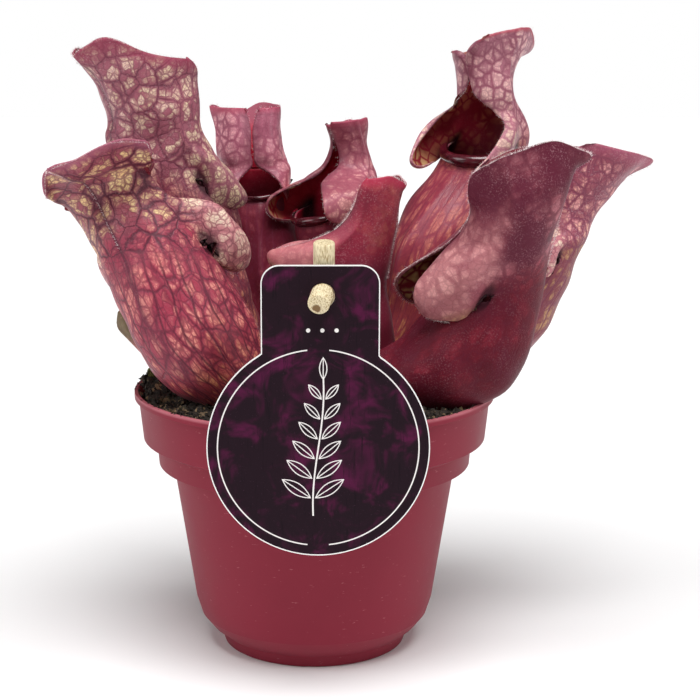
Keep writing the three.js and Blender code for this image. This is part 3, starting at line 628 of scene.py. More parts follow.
def hood_shape(p, t, angle, half_width, half_depth, size):
    """A hood's points, sideways, forward and up from its middle line."""
    turn = np.abs(angle)
    forward = -np.cos(turn)
    square = through(HOOD_LEVELS, HOOD_SQUARENESS, t)
    s = half_width * np.sin(turn)
    s = np.where(turn > np.pi / 2, half_width * np.maximum(np.sin(turn), 1e-6) ** square, s)
    on_ear = ease(turn, np.radians(HOLE_ANGLE), np.radians(EAR_ANGLE))
    s = s + p["lobe"] * on_ear * np.sin(np.pi * np.minimum((t - EAR_FOOT) / (EAR_TOP - EAR_FOOT), 1)) * size
    ear = p["ear"] + p["far_ear"] * (np.sign(angle) != p["near"])
    f = half_depth * forward + ear * on_ear * forward * hump(t, p["ear_at"], p["ear_height"])
    f = f - p["valley"] * hump_at(turn, 180, 24) * ease(t, 1.1, 1.35)
    sag = EAR_SAG * on_ear * (1 - 0.5 * ease(turn, np.radians(130), np.radians(170)))
    u = (HOLE_RISE * hole_shape(angle, p["near"]) - sag) * size * (1 - ease(t, 1, 1.22))
    # the wavy, flaring top
    at_top = ease(t, 1.7, 2) * size
    u = u + at_top * through(np.radians(RIM_ANGLES), RIM_WAVE, turn)
    f = f + p["flare"] * at_top * forward * np.where(forward < 0, 1, 0.3)
    s = s + 0.5 * p["flare"] * at_top * np.sin(turn)
    u = u + p["brow"] * at_top * ease(turn, np.radians(30), np.radians(100))
    u = u - p["droop"] * at_top * hump_at(angle, p["droop_at"], 28)
    far = p["far_side"] * at_top * hump_at(angle, p["far_at"], 32)
    s = s + math.copysign(1, p["far_at"]) * far
    u = u - 0.9 * far
    # the midrib's tip and keel, and the ridge down the hood's side
    f = f - p["tip"] * size * ease(t, 1.86, 2) * hump_at(turn, 0, 12)
    f = f + hump_at(turn, 0, 8) * through([1, 1.5, 2], [0.2, 0.8, 1.8], t)
    s = s + 0.9 * hump_at(turn, 92, 7) * ease(t, 1.02, 1.15) * size
    return s, f, u


def tube_shape(p, t, angle, half_width, half_depth, size):
    """A tube's points, with a ridge down its front, and the lip's ends that climb inside the ears."""
    turn = np.abs(angle)
    at_lip = ease(t, 0.9, 1) * size
    shelf = p["shelf"] * at_lip * hump_at(turn, 122, 15)
    s = half_width * np.sin(turn) - 0.35 * shelf
    f = -half_depth * np.cos(turn) + hump_at(turn, 180, 8) * through(SEAM_HEIGHTS, SEAM_RIDGE, t)
    return s, f, shelf - HOLE_DROP * at_lip * hole_shape(angle, p["near"])


def leaf_points(p, t, angle, shape):
    """Points on a leaf's outside, in mm, at the heights t and the angles."""
    side, back, up, half_width, half_depth = (
        through(LEVELS, levels_of(p, k, root), t)
        for k, root in enumerate((0, 0, 0, ROOT_RADIUS, ROOT_RADIUS)))
    s, f, u = shape(p, t, angle, half_width, half_depth, p["mouth"][3] / MODEL_MOUTH)
    s = s * np.where(angle < 0, -1, 1)
    tilt = through(LEVELS, LEVEL_TILT, t) + p["dip"] * ease(t, 1.4, 2) + p["tilt"] * hump(t, 1, 0.3)
    f, u = turn_by(f, u, tilt)
    s, u = turn_by(s, u, p["bank"] * ease(t, 1.4, 2))
    s, f = turn_by(s, f, p["twist"] * ease(t, 1, 2))
    f, u = turn_by(f, u, -p["lean"] * ease(t, 0, 0.5))
    s, u = turn_by(s, u, p["roll"] * ease(t, 0, 0.5))
    ahead = math.radians(p["face"])
    out = f - back
    across = s + side
    return np.stack([
        p["root"][0] + out * math.cos(ahead) - across * math.sin(ahead),
        p["root"][1] + out * math.sin(ahead) + across * math.cos(ahead),
        ROOT_HEIGHT + up + u], -1)


class Leaf:
    """One pitcher's sheet: tube, hood with curled edges, and the rolled lip."""

    def __init__(self, name, p):
        self.name = name
        self.p = p
        self.size = p["mouth"][3] / MODEL_MOUTH
        self.points, self.faces, self.leaf, self.form, self.kind = [], [], [], [], []
        self.fringe = []

    def sheet(self, place, around, along, height, edge, kind=0):
        """Adds a grid of points in mm, its own values, and its faces. Kind is the material's number."""
        start = sum(len(b) for b in self.points)
        index = start + np.arange(around.size).reshape(around.shape)
        self.points.append(place.reshape(-1, 3))
        self.leaf.append(np.stack([around, along], -1).reshape(-1, 2))
        self.form.append(np.stack([height, np.abs(around) / (np.pi * AROUND_SCALE), edge], -1).reshape(-1, 3))
        corners = (index[:-1, :-1], index[1:, :-1], index[1:, 1:], index[:-1, 1:])
        quads = np.stack(corners, -1).reshape(-1, 4)
        self.faces.append(quads)
        self.kind += [kind] * len(quads)

    def height_along(self, t):
        """How far up the leaf each height is, in mm; the cells are longer on the tube than on the hood."""
        knots = np.linspace(0, 2, 81)
        line = [through(LEVELS, levels_of(self.p, k), knots) for k in range(3)]
        run = np.linalg.norm(np.diff(np.stack(line, -1), axis=0), axis=1)
        run = run / (1 + 0.3 * (1 - ease(knots[1:], 0.7, 1.1)))
        return np.interp(t, knots, np.concatenate([[0], np.cumsum(run)]))

    def build(self):
        hole = math.radians(HOLE_ANGLE)
        beyond = np.linspace(0, 1, 29)[1:] ** 1.5
        front = hole + (math.pi - hole) * beyond
        # tube, from the root to the lip, with its seam down the front
        heights = np.concatenate([np.linspace(0, 0.88, 44), np.linspace(0.88, 1, 11)[1:]])
        angles = np.concatenate([-front[::-1], np.linspace(-hole, hole, 49), front])
        t, angle = np.meshgrid(heights, angles, indexing="ij")
        place = leaf_points(self.p, t, angle, tube_shape)
        self.sheet(place, angle * AROUND_SCALE, self.height_along(t), t / 2, np.zeros_like(t))
        rim = place[-1]
        # hood, with ears beyond the hole, curled in along its free edges
        rise = 1 + np.concatenate([np.linspace(0, 1, 26)[:-1] ** 2 * 0.16, np.linspace(0.16, 1, 44)])
        to_corner = np.clip((rise - 1.84) / 0.16, 0, 1)
        cut_off = self.p["corner"] * (1 - np.sqrt(1 - to_corner**2))
        reach = np.radians(through(HOOD_LEVELS, self.p["margin"], rise) - cut_off)
        rounding = np.clip((rise - 1) / 0.1, 0, 1)
        edge_turn = hole + (reach - hole) * np.sqrt(1 - (1 - rounding) ** 2)
        inner = np.linspace(-1, 1, 49) * np.minimum(hole, edge_turn)[:, None]
        outer = inner[:, -1:] + beyond * (edge_turn[:, None] - inner[:, -1:])
        turns = np.concatenate([-outer[:, ::-1], inner, outer], 1)
        rows = np.repeat(rise[:, None], turns.shape[1], 1)
        place = leaf_points(self.p, rows, turns, hood_shape)
        # it grows from the tube's rim between the holes
        ear = len(beyond)
        place[0, ear:-ear] = rim[ear:-ear]
        place[0, :ear] = rim[ear]
        place[0, -ear:] = rim[-ear - 1]
        edge = ease(np.abs(turns) / edge_turn[:, None], 0.88, 1.0) * (np.abs(turns) > hole * 0.8)
        edge = np.maximum(edge, ease(rows, 1.93, 2))
        middle = place[6:, place.shape[1] // 2]
        self.fringe.append((middle, middle - place[6:].mean(1)))
        self.fringe.append((place[-1], place[-1] - place[-3]))
        self.sheet(*self.curl(place, turns * AROUND_SCALE, self.height_along(rows), rows / 2, edge))
        self.lip(rim, np.degrees(angles))
        return self.mesh()

    def curl(self, place, around, along, height, edge):
        """Rolls the sheet inwards beyond its two free edges."""
        rise = height[:, :1] * 2
        radius = self.p["curl"] * self.size * (0.25 + 0.75 * (1 - ease(rise, 1.15, 1.5)))
        radius = np.maximum(radius, 0.65) * (0.3 + 0.7 * ease(rise, 1.003, 1.02))
        radius = radius * (1 - 0.9 * ease(rise, 1.93, 2))
        steps = np.radians([20, 42, 66, 92, 118, 146])
        strips = []
        for last, before, side in ((0, 2, -1), (-1, -3, 1)):
            bend = radius if side == self.p["near"] else np.minimum(radius, self.p["far_curl"])
            line = place[:, last]
            run = unit(np.gradient(line, axis=0), 1e-9)
            out = unit(np.cross(np.cross(run, line - place[:, before]), run), 1e-9)
            normal = -side * np.cross(run, out)
            strip = [line + bend * (math.sin(a) * out + (1 - math.cos(a)) * normal) for a in steps]
            self.fringe.append((strip[2][9:], out[9:]))
            strips.append(np.stack(strip, 1))
        place = np.concatenate([strips[0][:, ::-1], place, strips[1]], 1)
        n = len(steps)

        def widen(grid):
            return np.concatenate([np.repeat(grid[:, :1], n, 1), grid, np.repeat(grid[:, -1:], n, 1)], 1)

        around = widen(around)
        around[:, :n] -= (radius * steps)[:, ::-1]
        around[:, -n:] += radius * steps
        return place, around, widen(along), widen(height), widen(edge)

    def lip(self, rim, rim_turn):
        """A roll round the front of the mouth, thin at both ends."""
        begin = HOLE_ANGLE + 22
        right = np.flatnonzero(rim_turn > begin)[:-1]
        left = np.flatnonzero(rim_turn < -begin)
        path = rim[np.concatenate([right, left])]
        turn = np.concatenate([rim_turn[right], rim_turn[left] + 360])
        fade = np.sqrt(np.clip(1 - ((turn - 180) / (182 - begin)) ** 2, 0.02, 1))
        radius = ((0.3 + 1.2 * fade) * self.size * self.p["roll_size"])[:, None]
        tangent = unit(np.gradient(path, axis=0))
        outward = path - rim.mean(0)
        outward = unit(outward - np.sum(outward * tangent, 1, keepdims=True) * tangent)
        over = np.cross(outward, tangent)
        centre = path + outward * 0.5 * radius
        ring = np.radians(np.linspace(0, 360, 13))[:, None]
        around = np.cos(ring) * outward[:, None] + np.sin(ring) * over[:, None]
        place = centre[:, None] + radius[:, None] * around
        for row in (0, -1):
            place[row] = centre[row]
        flat = np.zeros(place.shape[:2])
        self.sheet(place, flat + turn[:, None] * 0.3, flat + ring[:, 0] * 2, flat + 0.5, flat, kind=2)

    def mesh(self):
        mesh = bpy.data.meshes.new(self.name + "_leaf")
        mesh.from_pydata((np.concatenate(self.points) * MM).tolist(), [], np.concatenate(self.faces).tolist())
        uv = mesh.uv_layers.new(name="leaf")
        corner = np.empty(len(mesh.loops), np.int32)
        mesh.loops.foreach_get("vertex_index", corner)
        uv.data.foreach_set("uv", (np.concatenate(self.leaf)[corner] * 0.01).astype(np.float32).ravel())
        attribute = mesh.attributes.new("form", "FLOAT_VECTOR", "POINT")
        attribute.data.foreach_set("vector", np.concatenate(self.form).astype(np.float32).ravel())
        mesh.polygons.foreach_set("material_index", self.kind)
        mesh.update()
        return mesh


# ---------------------------------------------------------------- making pieces
def belongs(piece, slot, *nodes):
    """The piece rides on the one body, and may stand for CAD nodes, which it hides. The slot is not used."""
    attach(piece, "root")
    if nodes:
        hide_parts(*nodes)


def new_piece(mesh, *materials):
    for material in materials:
        mesh.materials.append(material)
    return put_in_scene(bpy.data.objects.new(mesh.name, mesh))


def new_mesh(name, points, faces):
    """A mesh from points in mm."""
    mesh = bpy.data.meshes.new(name)
    mesh.from_pydata((np.asarray(points) * MM).tolist(), [], faces)
    return mesh


def smooth(mesh):
    mesh.polygons.foreach_set("use_smooth", [True] * len(mesh.polygons))


def select_only(obj):
    bpy.ops.object.select_all(action="DESELECT")
    obj.select_set(True)
    bpy.context.view_layer.objects.active = obj


def apply_modifiers(obj):
    select_only(obj)
    for modifier in list(obj.modifiers):
        bpy.ops.object.modifier_apply(modifier=modifier.name)


def soften(obj, width, angle, smooth_angle):
    """Rounds an object's sharp edges, and shades the rest smooth."""
    soft = obj.modifiers.new("soft_edges", "BEVEL")
    soft.width = width * MM
    soft.segments = 3
    soft.limit_method = "ANGLE"
    soft.angle_limit = math.radians(angle)
    apply_modifiers(obj)
    bpy.ops.object.shade_smooth_by_angle(angle=math.radians(smooth_angle))


def drill(obj, radius, depth, place, sides, turned=(0, 0, 0)):
    """Cuts a round hole, with its middle at a place in mm."""
    bpy.ops.mesh.primitive_cylinder_add(
        vertices=sides, radius=radius * MM, depth=depth * MM, location=Vector(place) * MM, rotation=turned)
    tool = bpy.context.object
    hole = obj.modifiers.new("hole", "BOOLEAN")
    hole.operation = "DIFFERENCE"
    hole.object = tool
    hole.solver = "EXACT"
    apply_modifiers(obj)
    bpy.data.objects.remove(tool)


def weld(mesh, face_out=False):
    """Joins points that lie on each other, and faces a closed shape outwards."""
    bm = bmesh.new()
    bm.from_mesh(mesh)
    bmesh.ops.remove_doubles(bm, verts=bm.verts, dist=0.02 * MM)
    bmesh.ops.dissolve_degenerate(bm, edges=bm.edges, dist=0.01 * MM)
    if face_out:
        bmesh.ops.recalc_face_normals(bm, faces=bm.faces)
    bm.to_mesh(mesh)
    bm.free()


def rings_piece(name, rings, material, slot, node):
    """A closed, smooth piece from rings of points in mm, one above the other."""
    sides = len(rings[0])
    last = (len(rings) - 1) * sides
    faces = [[i + j, i + sides + j, i + sides + (j + 1) % sides, i + (j + 1) % sides]
             for i in range(0, last, sides) for j in range(sides)]
    faces += [list(range(sides)), [last + j for j in reversed(range(sides))]]
    mesh = new_mesh(name, np.concatenate(rings), faces)
    weld(mesh, face_out=True)
    smooth(mesh)
    belongs(new_piece(mesh, material), slot, node)


def gather(name, shapes, material, slot):
    """Many small shapes, each its points in mm and its faces, joined in one piece."""
    points, faces = [], []
    for shape, polygons in shapes:
        start = len(points)
        points += shape.tolist()
        faces += [[v + start for v in polygon] for polygon in polygons]
    belongs(new_piece(new_mesh(name, points, faces), material), slot)


def swell(mesh, seed):
    """Moves each point along its normal by the gentle unevenness of a grown surface."""
    rng = np.random.default_rng(seed)
    co = np.empty(len(mesh.vertices) * 3, np.float32)
    no = co.copy()
    mesh.vertices.foreach_get("co", co)
    mesh.vertices.foreach_get("normal", no)
    co, no = co.reshape(-1, 3), no.reshape(-1, 3)
    points = co / MM
    total = np.zeros(len(points))
    for _ in range(7):
        direction = unit(rng.normal(size=3))
        length = rng.uniform(9, 26)
        phase = rng.uniform(0, ANY_PHASE)
        total += 0.0098 * length * np.sin(points @ direction * 2 * math.pi / length + phase)
    mesh.vertices.foreach_set("co", (co + no * (total[:, None] * MM)).astype(np.float32).ravel())
    mesh.update()


# a spike's faces: three round its tip, and its foot
SPIKE_FACES = [(0, 1, 3), (1, 2, 3), (2, 0, 3), (0, 2, 1)]
THIRD_OF_TURN = 2.094


def hairs_along(fringe, per_mm, rng):
    """Fine straight hairs, each a thin spike, rooted along lines and leaning away from the leaf."""
    for line, away in fringe:
        away = unit(away, 1e-9)
        run = np.concatenate([[0], np.cumsum(np.linalg.norm(np.diff(line, axis=0), axis=1))])
        for spot in rng.uniform(0, run[-1], int(run[-1] * per_mm)):
            k = min(int(np.searchsorted(run, spot, side="right")) - 1, len(run) - 2)
            share = (spot - run[k]) / max(run[k + 1] - run[k], 1e-9)
            root = line[k] * (1 - share) + line[k + 1] * share
            out = Vector(away[k] + rng.normal(0, 0.38, 3)).normalized()
            turn = rng.uniform(0, 2.1)
            corners = turn + THIRD_OF_TURN * np.arange(3)
            foot = [(0.05 * math.cos(a), 0.05 * math.sin(a), -0.15) for a in corners]
            spike = np.array([*foot, (0, 0, 1)]) * (1, 1, rng.uniform(0.5, 1.25))
            yield spike @ np.array(out.to_track_quat("Z", "Y").to_matrix()).T + root, SPIKE_FACES


def grow_pitcher(name, insides, lip, hairs):
    p = {**PLAIN_LEAF, **PITCHERS[name]}
    leaf = Leaf(name, p)
    obj = new_piece(leaf.build(), leaf_skin(*SKINS[name]), insides[p["inside"]], lip, insides[p["inside"]])
    weld(obj.data)
    swell(obj.data, sum(map(ord, name)))
    wall = obj.modifiers.new("wall", "SOLIDIFY")
    wall.thickness = WALL * MM
    wall.offset = -1
    wall.material_offset = 1
    wall.material_offset_rim = 0
    apply_modifiers(obj)
    smooth(obj.data)
    belongs(obj, "young_pitcher_skin" if "young" in name else "pitcher_skin", name)
    name = name.replace("pitcher", "hairs")
    rng = np.random.default_rng(len(name) * 7 + 3)
    gather(name, hairs_along(leaf.fringe, p["hairs"], rng), hairs, "pitcher_skin")

# ---------------------------------------------------------------- pot
# radius and height in mm, from the foot's edge up the outside, over the rim and down the inside
POT_PROFILE = [
    (30.8, 0), (32.1, 3.9), (35.5, 6.6), (38.6, 10.5), (40.3, 16), (47.2, 60.8), (52.2, 62.6), (52.7, 69.1),
    (57.2, 71.4), (58.6, 84.8), (60, 85.2), (60, 87.4), (58.8, 87.4), (57.4, 84.6), (56.0, 72.2),
    (51.5, 69.9),
    (51.0, 63.4), (46.0, 61.6), (39.1, 16.2), (31, 2.8), (29, 2.4)]
DRAIN_HOLES = 8
DRAIN_CIRCLE = 22
DRAIN_RADIUS = 3.2


def pot_plastic():
    net = Finish("raspberry_plastic")
    cloud = net.noise(net.mm, 0.04, 4.0, 0.6)
    grain = net.noise(net.mm, 3.0, 2.0, 0.5)
    scuff = net.step(net.noise(net.vector("MULTIPLY", net.mm, (0.5, 0.5, 2.2)), 0.6, 3.0, 0.7), 0.66, 0.72)
    colour = net.mix(cloud, (0.205, 0.015, 0.032), (0.25, 0.024, 0.044))
    colour = net.mix(net.times(scuff, 0.35), colour, (0.6, 0.25, 0.28))
    # the rim's top is paler: partly wear, partly a painted highlight along its upper edge
    worn_and_highlit = net.times(net.step(net.split(net.mm)[2], 86.2, 87.2), net.step(cloud, 0.35, 0.6, 0.35, 0.8))
    colour = net.mix(worn_and_highlit, colour, (0.50, 0.16, 0.19))
    return net.done(
        colour, net.step(cloud, 0.2, 0.8, 0.42, 0.55), net.bump(grain, 0.12, 0.2), Specular_IOR_Level=0.14)


def make_pot():
    bpy.ops.object.select_all(action="DESELECT")
    radius, height = POT_PROFILE[0]
    bpy.ops.mesh.primitive_circle_add(
        vertices=128, radius=radius * MM, fill_type="NGON", location=(0, 0, height * MM))
    pot = bpy.context.object
    pot.name = "pot_shell"
    bpy.ops.object.mode_set(mode="EDIT")
    for (r0, z0), (r1, z1) in zip(POT_PROFILE, POT_PROFILE[1:]):
        bpy.ops.mesh.extrude_region_move(TRANSFORM_OT_translate={"value": (0, 0, (z1 - z0) * MM)})
        bpy.ops.transform.resize(value=(r1 / r0, r1 / r0, 1), center_override=(0, 0, z1 * MM))
    bpy.ops.mesh.select_all(action="SELECT")
    bpy.ops.mesh.normals_make_consistent(inside=False)
    bpy.ops.object.mode_set(mode="OBJECT")
    # the extruded cap is the floor inside; the foot is closed by a face of its own
    bm = bmesh.new()
    bm.from_mesh(pot.data)
    bmesh.ops.holes_fill(bm, edges=[e for e in bm.edges if e.is_boundary])
    bmesh.ops.recalc_face_normals(bm, faces=bm.faces)
    bm.to_mesh(pot.data)
    bm.free()
    for i in range(DRAIN_HOLES):
        turn = i * 2 * math.pi / DRAIN_HOLES
        drill(pot, DRAIN_RADIUS, 20, (DRAIN_CIRCLE * math.cos(turn), DRAIN_CIRCLE * math.sin(turn), 0), 24)
    soften(pot, 0.45, 18, 35)
    bpy.ops.object.transform_apply(location=True, rotation=True, scale=True)
    pot.data.materials.append(pot_plastic())
    belongs(pot, "pot_plastic", "pot")


# ---------------------------------------------------------------- peat, moss and crumbs
HEAP_MIDDLE = (-51, 4)
RIM_HEIGHT = 87.5
MOSS_MIDDLE = (-51, 10)
MOSS_HEIGHT = 88.6
MOSS_SIZE = (6.0, 9.5, 4.6)
# the peat's rough surface: the length of its waves and their height
ROUGHNESS = ((14, 0.5), (7, 0.45), (3.4, 0.35), (1.9, 0.25))
# the peat below its surface, down the pot's inside: radius and height
PEAT_SKIRT = ((56.4, 76), (51.5, 71), (50.6, 64), (45.6, 62), (38.7, 16.4), (34, 8), (30, 5.6), (0.5, 5.6))


def peat_finish():
    net = Finish("damp_peat")
    patch = net.noise(net.mm, 0.12, 4.0, 0.65)
    grain = net.noise(net.mm, 1.1, 5.0, 0.7)
    fleck = net.cell_tone(net.mm, 0.55)
    colour = net.mix(net.step(grain, 0.35, 0.7), (0.007, 0.005, 0.004), (0.055, 0.036, 0.022))
    colour = net.mix(net.step(fleck, 0.84, 0.9), colour, (0.26, 0.17, 0.09))
    colour = net.mix(net.times(net.step(patch, 0.58, 0.7), 0.5), colour, (0.08, 0.07, 0.015))
    return net.done(colour, net.step(grain, 0.3, 0.7, 0.6, 0.95), net.bump(grain, 0.9, 1.2))


def moss_finish():
    net = Finish("olive_moss")
    patch = net.noise(net.mm, 0.25, 3.0, 0.6)
    grain = net.noise(net.mm, 1.6, 4.0, 0.7)
    colour = net.mix(net.step(patch, 0.35, 0.65), (0.06, 0.055, 0.010), (0.20, 0.19, 0.03))
    colour = net.mix(net.step(grain, 0.5, 0.75), colour, (0.38, 0.36, 0.08))
    return net.done(colour, 0.85, net.bump(grain, 0.8, 0.8))


def scatter(name, spots, make_shape, material, slot):
    """Many small pieces at (place in mm, size in mm, seed), joined in one."""
    shapes = []
    for place, size, seed in spots:
        shape, polygons = make_shape(np.random.default_rng(seed))
        shapes.append((shape * size + np.array(place), polygons))
    gather(name, shapes, material, slot)


def crumb(rng):
    """A rough lump with eight sides, half a unit across."""
    corners = np.array([(1, 0, 0), (0, 1, 0), (-1, 0, 0), (0, -1, 0), (0, 0, 1), (0, 0, -1)], float) * 0.5
    corners = corners * rng.uniform(0.5, 1.25, (6, 3)) + rng.normal(0, 0.08, (6, 3))
    turn = Matrix.Rotation(rng.uniform(0, ANY_PHASE), 3, Vector(rng.normal(size=3)).normalized())
    faces = [(i, (i + 1) % 4, 4) for i in range(4)] + [((i + 1) % 4, i, 5) for i in range(4)]
    return corners @ np.array(turn), faces


def blade(rng):
    """A thin pointed moss leaflet, one unit long."""
    tilt = rng.uniform(0.1, 0.9)
    turn = rng.uniform(0, ANY_PHASE)
    out = np.array([math.cos(turn) * tilt, math.sin(turn) * tilt, 1 - 0.4 * tilt])
    side = np.array([-math.sin(turn), math.cos(turn), 0]) * 0.1
    return np.array([side, -side, (0.04, 0.04, -0.05), out]), SPIKE_FACES


def soil_height(x, y):
    """The peat's surface, heaped up at the left against the rim."""
    heap = 5.0 * np.exp(-((x - HEAP_MIDDLE[0]) / 10) ** 2 - ((y - HEAP_MIDDLE[1]) / 15) ** 2)
    return np.interp(np.hypot(x, y), [0, 24, 40, 56.5], [88, 88, 87, 85.9]) + heap


def on_soil(radius, turn, lift):
    """A place on the peat, lifted above its surface."""
    x = radius * math.cos(turn)
    y = radius * math.sin(turn)
    return x, y, float(soil_height(x, y)) + lift


def make_peat():
    sides = 128
    rng = np.random.default_rng(4)
    radii = np.concatenate([[0.5], np.linspace(1, 56.6, 64)])
    turns = np.linspace(0, 2 * math.pi, sides + 1)[:-1]
    r, a = np.meshgrid(radii, turns, indexing="ij")
    x, y = r * np.cos(a), r * np.sin(a)
    rough = np.zeros_like(x)
    for length, amount in ROUGHNESS:
        for _ in range(4):
            d = unit(rng.normal(size=2))
            phase = rng.uniform(0, ANY_PHASE)
            rough += amount * 0.5 * np.sin((x * d[0] + y * d[1]) * ANY_TURN / length + phase)
    z = soil_height(x, y) + rough * np.clip((57 - r) / 4, 0, 1)
    rings = list(np.stack([x, y, z], -1))
    for radius, height in PEAT_SKIRT:
        rings.append(np.stack([radius * np.cos(turns), radius * np.sin(turns), np.full(sides, height)], -1))
    peat = peat_finish()
    rings_piece("peat_fill", rings, peat, "peat", "peat")
    spots = []
    for i in range(5200):
        radius = 58.0 * math.sqrt(rng.uniform(0.05, 1))
        turn = rng.uniform(0, ANY_TURN)
        size = 0.7 + 2.2 * rng.uniform(0, 1) ** 2
        spots.append((on_soil(radius, turn, rng.uniform(-0.2, 0.8)), size, i))
    scatter("peat_crumbs", spots, crumb, peat, "peat")
    spots = []
    for i in range(170):
        turn = rng.uniform(0, ANY_TURN)
        radius = rng.uniform(58.2, 59.8)
        place = (radius * math.cos(turn), radius * math.sin(turn), RIM_HEIGHT)
        spots.append((place, rng.uniform(0.3, 1.1), 9000 + i))
    scatter("rim_crumbs", spots, crumb, peat, "peat")


def make_moss():
    rng = np.random.default_rng(8)
    bpy.ops.object.select_all(action="DESELECT")
    bpy.ops.mesh.primitive_ico_sphere_add(subdivisions=5, radius=1)
    cushion = bpy.context.object
    cushion.name = "moss_cushion"
    co = np.array([v.co for v in cushion.data.vertices])
    x, y = co[:, :1], co[:, 1:2]
    lump = 1 + 0.09 * np.sin(x * 7 + 1) * np.sin(y * 6) + 0.06 * np.sin(x * 15) * np.cos(y * 13)
    co = co * lump * MOSS_SIZE + (*MOSS_MIDDLE, MOSS_HEIGHT)
    for vertex, place in zip(cushion.data.vertices, co):
        vertex.co = place * MM
    smooth(cushion.data)
    moss = moss_finish()
    cushion.data.materials.append(moss)
    belongs(cushion, "moss", "moss")
    spots = []
    for i in range(2600):
        a, r = rng.uniform(0, ANY_TURN), math.sqrt(rng.uniform(0, 1))
        place = (MOSS_MIDDLE[0] + 5.9 * r * math.cos(a), MOSS_MIDDLE[1] + 9.3 * r * math.sin(a),
                 88.4 + 4.5 * math.sqrt(max(0, 1 - r * r)))
        spots.append((place, rng.uniform(0.7, 1.6), 20000 + i))
    for i in range(900):
        a, r = rng.uniform(2.2, 3.2), rng.uniform(38, 56)
        spots.append((on_soil(r, a, 0.4), rng.uniform(0.8, 1.8), 30000 + i))
    scatter("moss_leaflets", spots, blade, moss, "moss")


# ---------------------------------------------------------------- label card
CARD_MIDDLE = (1.2, 82.0)
CARD_RADIUS = 33.5
CARD_FRONT = -61.8
CARD_THICKNESS = 0.6
BORDER = 0.34
TAB_MIDDLE = 1.8
TAB_HALF = 17.6
TAB_TOP = 137.5
TAB_ROUNDING = 5.6
CARD_HOLE = (2.4, 128.4)
CARD_HOLE_RADIUS = 3.7
UPRIGHT = (math.radians(90), 0, 0)
# the print: a thin ring, a bent stem with pairs of leaves, and dots on the tab
INK = (0.90, 0.86, 0.84)
RING_RADIUS = 30.2
RING_GAP = 3.2
STEM_BEND = 1.6
STEM_WAVE = 0.09
STEM_HALF = 21.4
LEAF_PAIRS = 6
TAB_DOTS = 36.0
DOT_GAP = 4.2


def leaf_mark_group():
    """One plain leaf of the print: an outline pointed at both ends, with a rib down its middle."""
    net, given, out = new_group(
        "leaf_mark", ["Where", "Middle"], {"Turn": 0.0, "Length": 5.0, "Width": 2.0}, ["Mark"])
    from_middle = net.vector("SUBTRACT", given["Where"], given["Middle"])
    turned = net.add("VectorRotate", {"Vector": from_middle, "Angle": given["Turn"]}, rotation_type="Y_AXIS")
    x, _, z = net.split(turned.outputs[0])
    along = net.math("DIVIDE", z, given["Length"])
    # the half width falls off with the square of the way along
    half = net.times(given["Width"], net.math("SUBTRACT", 1.0, net.times(along, along), clamp=True))
    away = net.math("ABSOLUTE", x)
    room = net.minus(half, away)
    drawn = net.most(net.step(room, 0.42, 0.30), net.step(away, 0.2, 0.08))
    return net.give(out, Mark=net.times(net.step(room, 0.0, 0.12), drawn))


def stem_at(height):
    return STEM_BEND * math.sin(STEM_WAVE * height)


def card_print():
    """A dark print with soft plum blotches and fine streaks, a thin ring and a plain sprig of leaves."""
    net = Finish("printed_card")
    mm = net.mm
    blotch = net.noise(mm, 0.09, 3.0, 0.6, 0.8)
    streak = net.noise(net.vector("MULTIPLY", mm, (4.0, 1.0, 0.4)), 0.3, 4.0, 0.65, 0.6)
    grain = net.noise(mm, 2.5, 2.0, 0.6)
    colour = net.mix(net.step(blotch, 0.46, 0.72), (0.013, 0.004, 0.009), (0.085, 0.006, 0.042))
    colour = net.mix(net.times(net.step(streak, 0.55, 0.72), 0.75), colour, (0.006, 0.002, 0.005))
    colour = net.mix(net.times(net.step(grain, 0.68, 0.75), 0.2), colour, (0.2, 0.08, 0.15))
    # the ring inside the border, open where the sprig stands
    out = net.vector("SUBTRACT", mm, (CARD_MIDDLE[0], 0, CARD_MIDDLE[1]))
    flat = net.vector("MULTIPLY", out, (1, 0, 1))
    x, _, z = net.split(out)
    ring = net.step(net.away_from(net.vector("LENGTH", flat), RING_RADIUS), 0.26, 0.12)
    ring = net.times(ring, net.step(net.math("ABSOLUTE", x), RING_GAP, RING_GAP + 0.1))
    # the stem bends gently, and the leaves stand on it in pairs, with one at its top
    bend = net.times(net.math("SINE", net.times(z, STEM_WAVE)), STEM_BEND)
    stem = net.times(net.step(net.away_from(x, bend), 0.3, 0.16),
                     net.step(net.away_from(z, 0.5), STEM_HALF + 0.1, STEM_HALF))
    marks = net.most(ring, stem)
    leaves = [((stem_at(22), 0, 24.5), 0.0, 3.6, 1.3)]
    for pair in range(LEAF_PAIRS):
        up = -15.5 + 6.1 * pair
        length = 5.4 - 0.45 * pair
        for side in (-1, 1):
            lean = math.radians(side * (56 - 3 * pair))
            across = stem_at(up) + side * (0.5 + length * abs(math.sin(lean)))
            middle = (across, 0, up + length * math.cos(lean))
            leaves.append((middle, -lean, length, 1.9 - 0.13 * pair))
    leaf_mark = leaf_mark_group()
    for middle, turn, length, width in leaves:
        mark = net.group(leaf_mark, Where=flat, Middle=middle, Turn=turn, Length=length, Width=width)["Mark"]
        marks = net.most(marks, mark)
    for place in (-1, 0, 1):
        dot = net.vector("DISTANCE", flat, (CARD_MIDDLE[0] + DOT_GAP * place, 0, TAB_DOTS))
        marks = net.most(marks, net.step(dot, 0.7, 0.55))
    return net.done(net.mix(marks, colour, INK), 0.55, Specular_IOR_Level=0.12)


def card_edge():
    net = Finish("cut_card_edge")
    return net.done(net.mix(net.noise(net.mm, 1.5, 3.0, 0.6), (0.86, 0.84, 0.82), (0.95, 0.94, 0.93)), 0.8)


